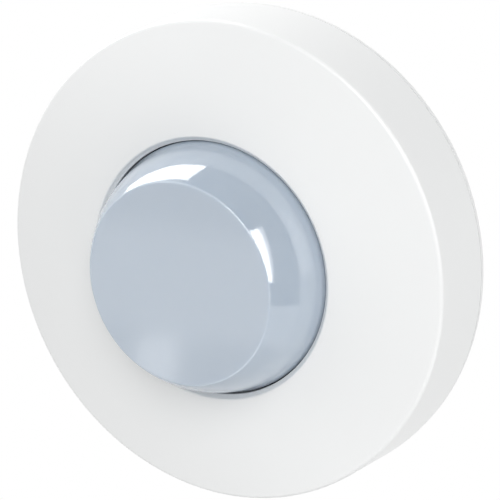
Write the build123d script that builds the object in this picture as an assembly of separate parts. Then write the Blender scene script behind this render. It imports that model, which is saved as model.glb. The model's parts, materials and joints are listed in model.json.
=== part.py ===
from build123d import *
from math import cos, hypot, radians, sin, sqrt
import os

os.makedirs("parts", exist_ok=True)

# A wall-mounted presence detector, sizes in millimetres. Its back lies on the wall plane y = 0 with the
# origin at the middle, its front looks along -Y and +Z is up. Each piece is drawn lying on its back, with
# x to the right, y up the wall and z as the height above the wall, and is stood up when it is written.

# Cover
cover_widening = 1.25
cover_crown_rise = 2.05
cover_wall = 1.8
cover_room = 1.4
skirt_wall = 1.6
rim_rounding = 0.5
rear_rounding = 0.3
lip_width = 2.05
lip_drop = 0.35
hole_gap = 0.85
hole_wall_depth = 2.7
hole_taper = 0.3
hole_collar_wall = 1.4
fit_rib_count = 6
fit_rib_width = 3.0
fit_rib_start = 2.6
key_depth = 0.8
key_angle = 45.0
pry_notch_width = 8.0
pry_notch_height = 1.2

# Base plate
base_floor = 2.0
base_flange_height = 0.7
base_flange_setback = 0.1
parting_gap = 0.25
base_ring_height = 8.0
base_ring_wall = 1.5
base_ring_gap = 0.45
base_ring_edge = 0.4
screw_spacing = 60.0
screw_slot_width = 4.4
screw_slot_length = 8.0
screw_pad_rise = 0.8
screw_pad_border = 2.2
screw_pad_gap = 0.8
cable_hole_border = 1.1
gasket_border = 0.5
gasket_width = 2.5
gasket_groove_depth = 1.0

# Grommet
cable_radius = 3.2
grommet_neck_wall = 1.8
grommet_flange = 1.4
grommet_rear_flange_height = 0.9
grommet_front_flange_height = 1.0
grommet_nipple_height = 1.2
grommet_nipple_wall = 1.4

# Board and what holds it
board_gap = 3.0
board_thickness = 1.2
board_edge_gap = 0.6
board_border = 0.5
carrier_screw_count = 3
carrier_screw_gap = 2.3
carrier_screw_angle = 35.0
boss_radius = 2.9
post_radius = 1.4
post_border = 0.8
post_angles = (58.0, 219.0, 322.0)
screw_shank_radius = 0.95
screw_bite = 2.2
screw_head_radius = 1.9
screw_head_height = 1.3
screw_head_rounding = 0.4
screw_cross_length = 2.5
screw_cross_width = 0.5
screw_cross_depth = 0.6
wall_screw_room = 3.3
cable_notch_gap = 0.2
notch_gap = 0.4

# Lens
lens_radius = 20.8
lens_face_radius = 16.5
lens_rise = 9.1
lens_shoulder_drop = 1.7
lens_wall = 1.2
lens_edge_rounding = 0.5
lens_lug_count = 3
lens_lug_reach = 1.5
lens_lug_thickness = 1.15
lens_lug_angle = 16.0
lens_turn = 20.0
ring_pitch = 1.6
ring_width = 1.4
ring_depth = 0.35
ring_first = 2.4

# Carrier
carrier_groove_wall = 0.8
carrier_flange_reach = 0.8
carrier_flange_height = 1.2
carrier_cover_gap = 0.5
carrier_ledge_width = 1.8
carrier_ledge_height = 0.8
carrier_ear_radius = 3.0

# Clearances
screw_clearance = 0.15
running_clearance = 0.05
slide_clearance = 0.15
lens_side_clearance = 0.4
lug_clearance = 0.3
lug_angle_clearance = 1.0
pin_clearance = 0.1

# Sensor
sensor_can_radius = 4.1
sensor_can_wall = 0.25
sensor_can_height = 4.2
sensor_flange_reach = 0.5
sensor_flange_height = 0.4
sensor_header_height = 0.5
sensor_spacer_height = 1.0
sensor_window_length = 4.4
sensor_window_width = 3.4
sensor_window_border = 0.5
sensor_window_thickness = 0.3
sensor_element_length = 3.0
sensor_element_width = 2.4
sensor_element_height = 1.4
lead_radius = 0.22
lead_circle = 2.54
lead_tail = 1.2
lead_count = 3

# Other pieces under the lens
under_lens_step = 5.0
light_sensor_radius = 1.5
light_sensor_height = 2.6
light_sensor_angle = 34.0
receiver_width = 5.2
receiver_depth = 3.4
receiver_height = 5.6
receiver_bulge = 1.5
receiver_angle = 153.0
led_radius = 1.5
led_flange = 0.4
led_flange_height = 0.8
led_height = 3.6
led_angle = 250.0

# Terminal
pole_count = 4
pole_pitch = 2.5
terminal_end_wall = 0.4
terminal_depth = 8.5
terminal_height = 5.5
terminal_gap = 0.6
terminal_angle = 65.0
terminal_wall = 0.9
chamber_width = 1.8
chamber_height = 3.9
wire_hole_radius = 0.8
wire_hole_height = 1.9
pusher_width = 1.2
pusher_length = 2.0
pusher_offset = 0.8
pusher_foot_reach = 0.3
pusher_foot_height = 0.5
pusher_proud = 0.5
pusher_travel = 0.8
pusher_notch_length = 1.1
pusher_notch_depth = 0.4
clamp_sheet = 0.2
clamp_side_gap = 0.2
clamp_end_gap = 0.85
clamp_foot_height = 0.25
pin_width = 0.6
pin_tail = 1.0

# Button
button_case_width = 6.0
button_case_height = 3.0
button_floor = 0.8
button_lid = 0.5
button_stem_radius = 1.5
button_stem_proud = 1.6
button_stem_rounding = 0.3
button_collar_radius = 2.0
button_collar_height = 0.55
button_nub_radius = 0.8
button_travel = 0.25
button_dome_radius = 1.9
button_dome_rise = 0.3
button_dome_sheet = 0.1
button_angle = 19.5

# Setting dials
dial_angles = (206.0, 230.0, 254.0)
dial_body_width = 6.8
dial_body_height = 2.6
dial_hub_radius = 2.0
dial_hub_length = 1.7
dial_knob_radius = 3.0
dial_knob_height = 1.2
dial_knob_rounding = 0.25
dial_knob_gap = 0.1
dial_slot_length = 4.2
dial_slot_width = 0.8
dial_slot_depth = 0.7
dial_mark_width = 0.6
dial_mark_depth = 0.35

# Slide switches
switch_count = 4
switch_pitch = 2.54
switch_end_wall = 0.5
switch_body_depth = 6.0
switch_body_height = 2.8
switch_floor = 0.8
switch_lid = 0.7
switch_foot_length = 1.8
switch_foot_width = 1.5
switch_knob_length = 1.0
switch_knob_width = 0.9
switch_knob_proud = 0.5
switch_travel = 1.6
switch_angle = 126.0

# Chips and capacitors
chip_width = 7.0
chip_thickness = 1.1
chip_standoff = 0.15
chip_angle = 298.0
chip_legs_per_side = 8
chip_leg_pitch = 0.8
chip_leg_width = 0.3
chip_leg_sheet = 0.15
chip_leg_reach = 0.9
capacitor_radius = 3.0
capacitor_height = 5.0
capacitor_angles = (317.0, 330.0)
capacitor_edge = 0.4
output_switch_length = 8.8
output_switch_width = 4.4
output_switch_height = 3.4
output_switch_edge = 0.3
output_switch_angle = 342.5
small_part_length = 1.7
small_part_width = 0.9
small_part_height = 0.6
small_part_gap = 3.0
small_part_count = 12
small_part_start = 70.0
small_part_step = 14.0

# Levels above the wall: the board lies on the base plate, and the cover clears the tallest piece on it
board_back = base_floor + board_gap
board_front = board_back + board_thickness
ear_top = board_front + carrier_flange_height
lens_seat = board_front + carrier_ledge_height
pusher_foot_level = chamber_height - pusher_foot_height - pin_clearance
clamp_crown_height = pusher_foot_level - pusher_travel - 2 * pin_clearance
pusher_top = terminal_height + pusher_proud
cover_rim_height = board_front + pusher_top + cover_room
cover_rear_height = base_flange_height + parting_gap
lip_height = cover_rim_height + cover_crown_rise
hole_edge_height = lip_height - lip_drop
hole_foot_height = hole_edge_height - hole_wall_depth
lens_shoulder_height = cover_rim_height - lens_shoulder_drop
lens_face_height = lip_height + lens_rise
carrier_top = hole_foot_height - carrier_cover_gap

# Radii from the lens outward: its carrier, the board's pieces, the base ring and the cover
carrier_bore = lens_radius + lens_side_clearance
groove_radius = lens_radius + lens_lug_reach + lug_clearance
carrier_collar_outer = groove_radius + carrier_groove_wall
carrier_flange_radius = carrier_collar_outer + carrier_flange_reach
carrier_screw_circle = carrier_collar_outer + screw_head_radius + carrier_screw_gap
notch_start = carrier_flange_radius + notch_gap
terminal_length = pole_count * pole_pitch + 2 * terminal_end_wall
parts_circle = carrier_flange_radius + terminal_gap + terminal_length / 2
terminal_reach = hypot(parts_circle + terminal_length / 2, terminal_depth / 2)
screw_pad_reach = (screw_spacing + screw_slot_length) / 2 + screw_pad_border
base_ring_inner = max(screw_pad_reach + screw_pad_gap, terminal_reach + board_border + board_edge_gap)
base_ring_outer = base_ring_inner + base_ring_wall
board_radius = base_ring_inner - board_edge_gap
post_circle = board_radius - post_border - post_radius
widening_per_height = cover_widening / (cover_rim_height - cover_rear_height)
cover_front_radius = (
    base_ring_outer + base_ring_gap + skirt_wall - widening_per_height * (cover_rim_height - base_ring_height)
)
cover_rear_radius = cover_front_radius + cover_widening
base_flange_radius = cover_rear_radius - base_flange_setback
fit_rib_inner = base_ring_outer + running_clearance
hole_radius = lens_radius + hole_gap
lip_radius = hole_radius + lip_width
sensor_flange_radius = sensor_can_radius + sensor_flange_reach
small_part_circle = carrier_bore - carrier_ledge_width - small_part_gap
under_lens_circle = small_part_circle - under_lens_step

# The gasket's groove follows the base ring, and the cable's hole lies just inside the groove
gasket_groove_outer = base_ring_outer - gasket_border
gasket_groove_inner = gasket_groove_outer - gasket_width
cable_hole_radius = cable_radius + grommet_neck_wall
grommet_radius = cable_hole_radius + grommet_flange
cable_hole_place = gasket_groove_inner - cable_hole_border - grommet_radius
cable_notch_width = 2 * (cable_hole_radius + cable_notch_gap)
wall_screw_notch_width = screw_slot_width + 2 * wall_screw_room

# The crowned face is part of a large ball, centred on the axis far behind the wall
crown_centre = (
    cover_rim_height**2 + cover_front_radius**2 - lip_height**2 - lip_radius**2
) / (2 * (cover_rim_height - lip_height))
crown_radius = hypot(cover_front_radius, cover_rim_height - crown_centre)

CENTRED = (Align.CENTER, Align.CENTER, Align.MIN)


def crown_height(radius, depth=0.0):
    """Height of the crowned face, or of a surface that lies below it by the depth."""
    return crown_centre + sqrt((crown_radius - depth) ** 2 - radius**2)


def cover_radius_at(height):
    """Outer radius of the cover's side wall, which widens towards the wall."""
    return cover_front_radius + widening_per_height * (cover_rim_height - height)


def block(length, width, low, high):
    """A block centred on the axis between two heights."""
    return Pos(0, 0, low) * Box(length, width, high - low, align=CENTRED)


def rod(radius, low, high):
    """A round rod on the axis between two heights."""
    return Pos(0, 0, low) * Cylinder(radius, high - low, align=CENTRED)


def ring(inner, outer, low, high):
    """A flat ring about the axis between two heights."""
    return rod(outer, low, high) - rod(inner, low, high)


def lathe(*edges):
    """Turns a closed outline, drawn as radius and height, about the axis."""
    return revolve(Plane.XZ * make_face(edges), Axis.Z)


def around(shape, radius, angle, height=0.0):
    """Sets a shape at a radius and angle, its own +X pointing outward."""
    return Rot(0, 0, angle) * Pos(radius, 0, height) * shape


def sector(inner, outer, low, high, start, sweep):
    """A piece of a flat ring from a start angle over a sweep, in degrees."""
    middle = start + sweep / 2
    half = radians(sweep / 2)
    reach = 2 * outer
    wedge = Polygon((0, 0), (reach * cos(half), reach * sin(half)), (reach * cos(half), -reach * sin(half)),
                    align=None)
    tool = Pos(0, 0, low) * extrude(wedge, high - low)
    return ring(inner, outer, low, high) & (Rot(0, 0, middle) * tool)


def group(shapes):
    """Several separate solids of one node."""
    return Compound([solid for shape in shapes for solid in shape.solids()])


def evenly(count, start=0.0):
    """Angles of a number of places evenly round the axis."""
    return [start + 360 * index / count for index in range(count)]


def round_edge(body, radius, size):
    """Rounds the circular edge whose radius about the axis is closest to the one given."""
    circles = body.edges().filter_by(GeomType.CIRCLE)
    return fillet(min(circles, key=lambda edge: abs(edge.radius - radius)), size)


def cover_shell():
    """Side wall, crowned face, rolled lip and the collar inside the hole."""
    outer_rear = (cover_rear_radius, cover_rear_height)
    rim = (cover_front_radius, cover_rim_height)
    between = (cover_front_radius + lip_radius) / 2
    lip = (lip_radius, lip_height)
    edge = (hole_radius, hole_edge_height)
    inward = (crown_centre - lip_height, lip_radius)
    collar_foot = (hole_radius - hole_taper, hole_foot_height)
    collar_outer = collar_foot[0] + hole_collar_wall
    collar_top = (collar_outer, crown_height(collar_outer, cover_wall))
    corner_radius = cover_front_radius - skirt_wall
    corner = (corner_radius, crown_height(corner_radius, cover_wall))
    inner_between = (collar_outer + corner_radius) / 2
    inner_rear = (cover_rear_radius - skirt_wall, cover_rear_height)
    shell = lathe(
        Line(outer_rear, rim),
        ThreePointArc(rim, (between, crown_height(between)), lip),
        TangentArc(lip, edge, tangent=inward),
        Line(edge, collar_foot),
        Line(collar_foot, (collar_outer, collar_foot[1])),
        Line((collar_outer, collar_foot[1]), collar_top),
        ThreePointArc(collar_top, (inner_between, crown_height(inner_between, cover_wall)), corner),
        Line(corner, inner_rear),
        Line(inner_rear, outer_rear),
    )
    shell = round_edge(shell, cover_front_radius, rim_rounding)
    return round_edge(shell, cover_rear_radius, rear_rounding)


def fit_rib(inner):
    """An upright rib inside the skirt that reaches in to a radius."""
    top = base_ring_height - 2 * running_clearance
    outer = cover_radius_at(fit_rib_start) - skirt_wall / 2
    rib = Pos((inner + outer) / 2, 0, 0) * block(outer - inner, fit_rib_width, fit_rib_start, top)
    return rib & rod(cover_radius_at(base_ring_height) - skirt_wall / 2, fit_rib_start, top)


def make_cover_ring():
    """White cover: it grips the base plate's ring with ribs, and one rib keys it upright."""
    cover = cover_shell()
    for index, angle in enumerate(evenly(fit_rib_count, key_angle)):
        inner = fit_rib_inner - (key_depth if index == 0 else 0)
        cover += Rot(0, 0, angle) * fit_rib(inner)
    notch = block(pry_notch_width, cover_rear_radius, 0, cover_rear_height + pry_notch_height)
    notch -= rod(base_ring_outer, 0, cover_rear_height + pry_notch_height)
    return cover - Pos(0, -cover_rear_radius, 0) * notch


def screw_slot(grow, low, high):
    """The outline of a wall screw's slot at both places, grown by a border."""
    outline = SlotOverall(screw_slot_length + 2 * grow, screw_slot_width + 2 * grow)
    slot = Pos(0, 0, low) * extrude(outline, high - low)
    return [Pos(side * screw_spacing / 2, 0, 0) * slot for side in (-1, 1)]


def make_base_plate():
    """White plate against the wall, with its ring, screw slots, cable hole, bosses and posts."""
    plate = rod(base_flange_radius, 0, base_flange_height) + rod(base_ring_outer, 0, base_floor)
    wall = ring(base_ring_inner, base_ring_outer, base_floor, base_ring_height)
    wall = chamfer(wall.edges().group_by(Axis.Z)[-1], base_ring_edge)
    plate += wall
    plate += screw_slot(screw_pad_border, base_floor, base_floor + screw_pad_rise)
    for angle in evenly(carrier_screw_count, carrier_screw_angle):
        plate += around(rod(boss_radius, base_floor, board_back), carrier_screw_circle, angle)
        pilot = rod(screw_shank_radius + running_clearance, base_floor - screw_bite / 4, board_back)
        plate -= around(pilot, carrier_screw_circle, angle)
    for angle in post_angles:
        plate += around(rod(post_radius, base_floor, board_back), post_circle, angle)
    plate -= screw_slot(0, 0, base_floor + screw_pad_rise)
    hole = rod(cable_hole_radius, 0, base_floor)
    hole += rod(grommet_radius, 0, grommet_rear_flange_height)
    plate -= Pos(0, cable_hole_place, 0) * hole
    plate -= ring(gasket_groove_inner, gasket_groove_outer, 0, gasket_groove_depth)
    key_room = fit_rib_width + 4 * slide_clearance
    key_slot = Pos(base_ring_outer, 0, 0) * block(3 * base_ring_wall, key_room, base_floor, base_ring_height)
    return plate - Rot(0, 0, key_angle) * key_slot


def make_wall_gasket():
    """Soft ring that fills the groove at the back and ends flush with the wall plane."""
    return ring(gasket_groove_inner + pin_clearance, gasket_groove_outer - pin_clearance, 0, gasket_groove_depth)


def make_cable_grommet():
    """Rubber grommet with a flange each side of the floor and a nipple towards the board."""
    front = base_floor + grommet_front_flange_height
    top = front + grommet_nipple_height
    body = rod(grommet_radius - running_clearance, 0, grommet_rear_flange_height)
    body += rod(cable_hole_radius - running_clearance, 0, front)
    body += rod(grommet_radius, base_floor, front)
    body += rod(cable_radius + grommet_nipple_wall, front, top)
    return Pos(0, cable_hole_place, 0) * (body - rod(cable_radius, 0, top))


def lead_places():
    """Angles of the sensor's leads, a quarter turn apart with one place empty."""
    return [90.0 * index for index in range(lead_count)]


def make_circuit_board():
    """Round board with notches over the wall screws and the cable, and holes for screws, leads and pins."""
    board = rod(board_radius, board_back, board_front)
    reach = 2 * (board_radius - notch_start)
    for angle, width in ((0, wall_screw_notch_width), (90, cable_notch_width), (180, wall_screw_notch_width)):
        notch = block(reach, width, board_back, board_front)
        board -= around(notch, notch_start + reach / 2, angle)
    for angle in evenly(carrier_screw_count, carrier_screw_angle):
        hole = rod(screw_shank_radius + screw_clearance, board_back, board_front)
        board -= around(hole, carrier_screw_circle, angle)
    for angle in lead_places():
        board -= around(rod(lead_radius + pin_clearance, board_back, board_front), lead_circle, angle)
    width = pin_width + 2 * pin_clearance
    for place in pole_places():
        hole = Pos(place, 0, 0) * block(width, width, board_back, board_front)
        board -= around(hole, parts_circle, terminal_angle)
    return board


def make_carrier_screws():
    """Pan-head screws through the carrier and the board into the bosses; their threads are plain."""
    screw = rod(screw_shank_radius, board_back - screw_bite, ear_top)
    head = rod(screw_head_radius, ear_top, ear_top + screw_head_height)
    head = fillet(head.edges().group_by(Axis.Z)[-1], screw_head_rounding)
    low = ear_top + screw_head_height - screw_cross_depth
    high = ear_top + screw_head_height
    cross = block(screw_cross_length, screw_cross_width, low, high)
    cross += block(screw_cross_width, screw_cross_length, low, high)
    screw = screw + head - cross
    return group(around(screw, carrier_screw_circle, angle)
                 for angle in evenly(carrier_screw_count, carrier_screw_angle))


def make_lens_carrier():
    """Black collar that seats the lens, with bayonet grooves and three screw ears."""
    ledge_inner = carrier_bore - carrier_ledge_width
    carrier = rod(carrier_collar_outer, board_front, carrier_top)
    carrier += rod(carrier_flange_radius, board_front, ear_top)
    for angle in evenly(carrier_screw_count, carrier_screw_angle):
        ear = rod(carrier_ear_radius, board_front, ear_top)
        neck_length = carrier_screw_circle - carrier_bore
        neck = Pos(-neck_length / 2, 0, 0) * block(neck_length, 2 * carrier_ear_radius, board_front, ear_top)
        carrier += around(ear + neck, carrier_screw_circle, angle)
    carrier -= rod(ledge_inner, board_front, lens_seat)
    carrier -= rod(carrier_bore, lens_seat, carrier_top)
    for angle in evenly(carrier_screw_count, carrier_screw_angle):
        hole = rod(screw_shank_radius + screw_clearance, board_front, ear_top)
        carrier -= around(hole, carrier_screw_circle, angle)
    groove_top = lens_seat + running_clearance + lens_lug_thickness + lug_clearance
    entry_sweep = lens_lug_angle + 2 * lug_angle_clearance
    bore = carrier_bore - running_clearance
    for angle in evenly(lens_lug_count):
        start = angle - entry_sweep / 2
        carrier -= sector(bore, groove_radius, lens_seat, groove_top, start, entry_sweep + lens_turn)
        carrier -= sector(bore, groove_radius, lens_seat, carrier_top, start + lens_turn, entry_sweep)
    return carrier


def lens_profile(radius, shoulder, face_radius, face_height, foot):
    """Outline of a lens surface from its foot to the axis, with a straight side and a ball-shaped shoulder."""
    return [
        Line((radius, foot), (radius, shoulder)),
        TangentArc((radius, shoulder), (face_radius, face_height), tangent=(0, 1)),
        Line((face_radius, face_height), (0, face_height)),
    ]


def lens_arc_radius():
    """Radius of the shoulder's arc, which starts upright at the lens's widest place."""
    inset = lens_radius - lens_face_radius
    rise = lens_face_height - lens_shoulder_height
    return (inset**2 + rise**2) / (2 * inset)


def make_lens_cap():
    """Blue-grey lens: a thin shell with Fresnel rings under its flat face and bayonet lugs at its foot."""
    foot = lens_seat + running_clearance
    inner_face = lens_face_height - lens_wall
    arc = lens_arc_radius()
    inner_rise = inner_face - lens_shoulder_height
    inner_face_radius = lens_radius - arc + sqrt((arc - lens_wall) ** 2 - inner_rise**2)
    outside = lathe(
        *lens_profile(lens_radius, lens_shoulder_height, lens_face_radius, lens_face_height, foot),
        Line((0, lens_face_height), (0, foot)),
        Line((0, foot), (lens_radius, foot)),
    )
    outside = round_edge(outside, lens_face_radius, lens_edge_rounding)
    inside = lathe(
        *lens_profile(lens_radius - lens_wall, lens_shoulder_height, inner_face_radius, inner_face, foot),
        Line((0, inner_face), (0, foot)),
        Line((0, foot), (lens_radius - lens_wall, foot)),
    )
    lens = outside - inside
    ring_count = int((inner_face_radius - ring_first) / ring_pitch)
    for index in range(ring_count):
        radius = ring_first + index * ring_pitch
        corners = [(radius, inner_face), (radius + ring_width, inner_face), (radius, inner_face + ring_depth)]
        lens -= lathe(*Polyline(*corners, close=True).edges())
    reach = lens_radius + lens_lug_reach
    for angle in evenly(lens_lug_count):
        lens += sector(lens_radius - lens_wall, reach, foot, foot + lens_lug_thickness,
                       angle - lens_lug_angle / 2, lens_lug_angle)
    return lens


def make_sensor_spacer():
    """Plastic disc that keeps the sensor's metal base off the board."""
    disc = rod(sensor_flange_radius, board_front, board_front + sensor_spacer_height)
    for angle in lead_places():
        hole = rod(lead_radius + pin_clearance, board_front, board_front + sensor_spacer_height)
        disc -= around(hole, lead_circle, angle)
    return disc


def sensor_base():
    """Height of the sensor's base above the wall."""
    return board_front + sensor_spacer_height


def make_sensor_header():
    """Round metal base of the sensor."""
    low = sensor_base()
    return rod(sensor_can_radius - sensor_can_wall - running_clearance, low, low + sensor_header_height)


def make_sensor_can():
    """Metal can with a flange and a window opening."""
    low = sensor_base()
    top = low + sensor_can_height
    can = rod(sensor_can_radius, low, top) + rod(sensor_flange_radius, low, low + sensor_flange_height)
    can = fillet(can.edges().group_by(Axis.Z)[-1], sensor_can_wall)
    can -= rod(sensor_can_radius - sensor_can_wall, low, top - sensor_can_wall)
    return can - block(sensor_window_length, sensor_window_width, top - 2 * sensor_can_wall, top)


def make_sensor_window():
    """Dark filter plate under the can's opening."""
    high = sensor_base() + sensor_can_height - sensor_can_wall
    return block(sensor_window_length + 2 * sensor_window_border, sensor_window_width + 2 * sensor_window_border,
                 high - sensor_window_thickness, high)


def make_sensor_element():
    """The heat-sensitive element on its stand."""
    low = sensor_base() + sensor_header_height
    top = low + sensor_element_height
    stand = block(sensor_element_length / 2, sensor_element_width / 2, low, top)
    return stand + block(sensor_element_length, sensor_element_width, top - sensor_element_height / 3, top)


def make_sensor_leads():
    """Leads from the sensor's base down through spacer and board."""
    lead = rod(lead_radius, board_back - lead_tail, sensor_base())
    return group(around(lead, lead_circle, angle) for angle in lead_places())


def domed_post(radius, height):
    """A small clear body: a round post with a half-ball end."""
    return rod(radius, 0, height) + Pos(0, 0, height) * Sphere(radius)


def make_light_sensor():
    """Brightness sensor with a clear domed body."""
    body = domed_post(light_sensor_radius, light_sensor_height) & rod(2 * light_sensor_radius, 0, lens_face_height)
    return around(body, under_lens_circle, light_sensor_angle, board_front)


def make_status_led():
    """Small lamp that shows through the lens."""
    body = domed_post(led_radius, led_height) + rod(led_radius + led_flange, 0, led_flange_height)
    body &= rod(2 * led_radius, 0, lens_face_height)
    return around(body, under_lens_circle, led_angle, board_front)


def make_ir_receiver():
    """Receiver for a hand-held remote control: an upright block with a round bulge towards the middle."""
    body = block(receiver_depth, receiver_width, 0, receiver_height)
    body += Pos(-receiver_depth / 2, 0, 0) * rod(receiver_bulge, 0, receiver_height - receiver_bulge)
    body += Pos(-receiver_depth / 2, 0, receiver_height - receiver_bulge) * Sphere(receiver_bulge)
    body &= block(4 * receiver_depth, 2 * receiver_width, 0, receiver_height)
    return around(body, under_lens_circle, receiver_angle, board_front)


def pole_places():
    """Radial places of the terminal's poles, from its middle."""
    return [(index - (pole_count - 1) / 2) * pole_pitch for index in range(pole_count)]


def at_pole(shape, place):
    """Sets a shape at the radial place of a pole, on the board."""
    return around(Pos(place, 0, 0) * shape, parts_circle, terminal_angle, board_front)


def make_terminal_block():
    """Push-in terminal with a chamber, a wire mouth and a pusher well for each pole."""
    housing = block(terminal_length, terminal_depth, 0, terminal_height)
    chamber = block(chamber_width, terminal_depth - 2 * terminal_wall, 0, chamber_height)
    well = Pos(0, -pusher_offset, 0) * block(pusher_width + 2 * slide_clearance,
                                             pusher_length + 2 * slide_clearance, chamber_height, terminal_height)
    mouth = Pos(0, terminal_depth / 2, wire_hole_height) * Rot(90, 0, 0) * Cylinder(
        wire_hole_radius, terminal_depth / 2, align=CENTRED)
    for place in pole_places():
        housing -= Pos(place, 0, 0) * (chamber + well + mouth)
    return around(housing, parts_circle, terminal_angle, board_front)


def make_terminal_clamps():
    """A bent spring leaf in each chamber."""
    end = terminal_depth / 2 - terminal_wall - clamp_end_gap
    bend = Polyline((end, clamp_foot_height), (-end, clamp_foot_height), (-end, clamp_crown_height),
                    (end / 2, clamp_crown_height / 2))
    leaf = extrude(Plane.YZ * trace(bend, clamp_sheet), chamber_width / 2 - clamp_side_gap, both=True)
    return group(at_pole(leaf, place) for place in pole_places())


def make_terminal_pins():
    """A square solder pin under each clamp, through the board."""
    low = -board_thickness - pin_tail
    pin = block(pin_width, pin_width, low, clamp_foot_height - clamp_sheet / 2)
    return group(at_pole(pin, place) for place in pole_places())


def make_terminal_pusher(place):
    """Release pusher of one pole, held in its well by a wider foot."""
    foot_top = pusher_foot_level + pusher_foot_height
    foot_width = chamber_width - 2 * slide_clearance
    foot_length = pusher_length + 2 * pusher_foot_reach
    pusher = block(pusher_width, pusher_length, foot_top, pusher_top)
    pusher += block(foot_width, foot_length, pusher_foot_level, foot_top)
    pusher -= block(pusher_width, pusher_notch_length, pusher_top - pusher_notch_depth, pusher_top)
    return at_pole(Pos(0, -pusher_offset, 0) * pusher, place)


def make_button_case():
    """Case of the push button with a lid that keeps the plunger in."""
    case = block(button_case_width, button_case_width, 0, button_case_height)
    under_lid = button_case_height - button_lid
    case -= rod(button_collar_radius + slide_clearance, button_floor, under_lid)
    case -= rod(button_stem_radius + running_clearance, under_lid, button_case_height)
    return around(case, parts_circle, button_angle, board_front)


def make_button_dome():
    """Snap dome on the floor of the case: a thin dished sheet with a flat crest."""
    crest = button_floor + button_dome_rise
    shoulder = button_dome_radius / 2
    dome = lathe(*Polyline(
        (0, crest), (shoulder, crest), (button_dome_radius, button_floor),
        (button_dome_radius, button_floor + button_dome_sheet), (shoulder, crest + button_dome_sheet),
        (0, crest + button_dome_sheet), close=True).edges())
    return around(dome, parts_circle, button_angle, board_front)


def make_button_plunger():
    """Plunger of the push button: nub, collar and stem."""
    collar_top = button_case_height - button_lid - pin_clearance
    collar_foot = collar_top - button_collar_height
    nub_foot = button_floor + button_dome_rise + button_dome_sheet + button_travel + pin_clearance
    top = button_case_height + button_stem_proud
    stem = rod(button_stem_radius, collar_top, top)
    stem = fillet(stem.edges().group_by(Axis.Z)[-1], button_stem_rounding)
    plunger = stem + rod(button_collar_radius, collar_foot, collar_top)
    plunger += rod(button_nub_radius, nub_foot, collar_foot)
    return around(plunger, parts_circle, button_angle, board_front)


def make_trimmer_bodies():
    """Bodies of the setting dials, each with a bore for its hub."""
    body = block(dial_body_width, dial_body_width, 0, dial_body_height)
    floor = dial_body_height + dial_knob_gap - dial_hub_length - running_clearance
    body -= rod(dial_hub_radius + running_clearance, floor, dial_body_height)
    return group(around(body, parts_circle, angle, board_front) for angle in dial_angles)


def make_dial(angle):
    """A setting dial: hub, knob, screwdriver slot and a pointer notch."""
    under = dial_body_height + dial_knob_gap
    top = under + dial_knob_height
    knob = rod(dial_knob_radius, under, top)
    knob = fillet(knob.edges().group_by(Axis.Z)[-1], dial_knob_rounding)
    dial = knob + rod(dial_hub_radius, under - dial_hub_length, under)
    dial -= block(dial_slot_width, dial_slot_length, top - dial_slot_depth, top)
    mark_length = dial_knob_radius - dial_slot_length / 2
    mark = block(dial_mark_width, mark_length, top - dial_mark_depth, top)
    dial -= Pos(0, dial_knob_radius - mark_length / 2, 0) * mark
    return around(Rot(0, 0, -angle) * dial, parts_circle, angle, board_front)


def switch_places():
    """Tangential places of the slide switches, from the middle of their body."""
    return [(index - (switch_count - 1) / 2) * switch_pitch for index in range(switch_count)]


def make_dip_switch_body():
    """Body of the slide switches, with a pocket and a narrower window for each."""
    length = switch_count * switch_pitch + 2 * switch_end_wall
    body = block(switch_body_depth, length, 0, switch_body_height)
    under_lid = switch_body_height - switch_lid
    pocket = block(switch_foot_length + switch_travel + 2 * slide_clearance,
                   switch_foot_width + 2 * slide_clearance, switch_floor, under_lid)
    window = block(switch_knob_length + switch_travel + 2 * slide_clearance,
                   switch_knob_width + 2 * slide_clearance, under_lid, switch_body_height)
    for place in switch_places():
        body -= Pos(0, place, 0) * (pocket + window)
    return around(body, parts_circle, switch_angle, board_front)


def make_dip_slider(place):
    """Slider of one switch, at the inner end of its window."""
    foot_low = switch_floor + running_clearance
    foot_top = switch_body_height - switch_lid - pin_clearance
    top = switch_body_height + switch_knob_proud
    slider = block(switch_foot_length, switch_foot_width, foot_low, foot_top)
    slider += block(switch_knob_length, switch_knob_width, foot_top, top)
    return around(Pos(-switch_travel / 2, place, 0) * slider, parts_circle, switch_angle, board_front)


def make_controller_chip():
    """Flat square package of the controller."""
    body = block(chip_width, chip_width, chip_standoff, chip_standoff + chip_thickness)
    return around(body, parts_circle, chip_angle, board_front)


def make_controller_legs():
    """Bent legs along the four sides of the controller."""
    start = chip_width / 2
    middle = chip_standoff + chip_thickness / 2
    foot = chip_leg_sheet / 2
    bend = Polyline((start + foot, middle), (start + chip_leg_reach / 2, middle),
                    (start + chip_leg_reach / 2, foot), (start + chip_leg_reach, foot))
    leg = extrude(Plane.XZ * trace(bend, chip_leg_sheet), chip_leg_width / 2, both=True)
    legs = []
    for side in evenly(4):
        for index in range(chip_legs_per_side):
            place = (index - (chip_legs_per_side - 1) / 2) * chip_leg_pitch
            turned = Rot(0, 0, side) * Pos(0, place, 0) * leg
            legs.append(around(turned, parts_circle, chip_angle, board_front))
    return group(legs)


def make_capacitors():
    """Two round buffer capacitors."""
    can = rod(capacitor_radius, 0, capacitor_height)
    can = chamfer(can.edges().filter_by(GeomType.CIRCLE), capacitor_edge)
    return group(around(can, parts_circle, angle, board_front) for angle in capacitor_angles)


def make_output_switch():
    """Block of the small relay that switches the output."""
    body = block(output_switch_length, output_switch_width, 0, output_switch_height)
    body = chamfer(body.edges().group_by(Axis.Z)[-1], output_switch_edge)
    return around(body, parts_circle, output_switch_angle, board_front)


def make_small_parts():
    """Resistors and ceramic capacitors in a bow round the sensor."""
    chip = block(small_part_width, small_part_length, 0, small_part_height)
    return group(around(chip, small_part_circle, small_part_start + index * small_part_step, board_front)
                 for index in range(small_part_count))


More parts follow.
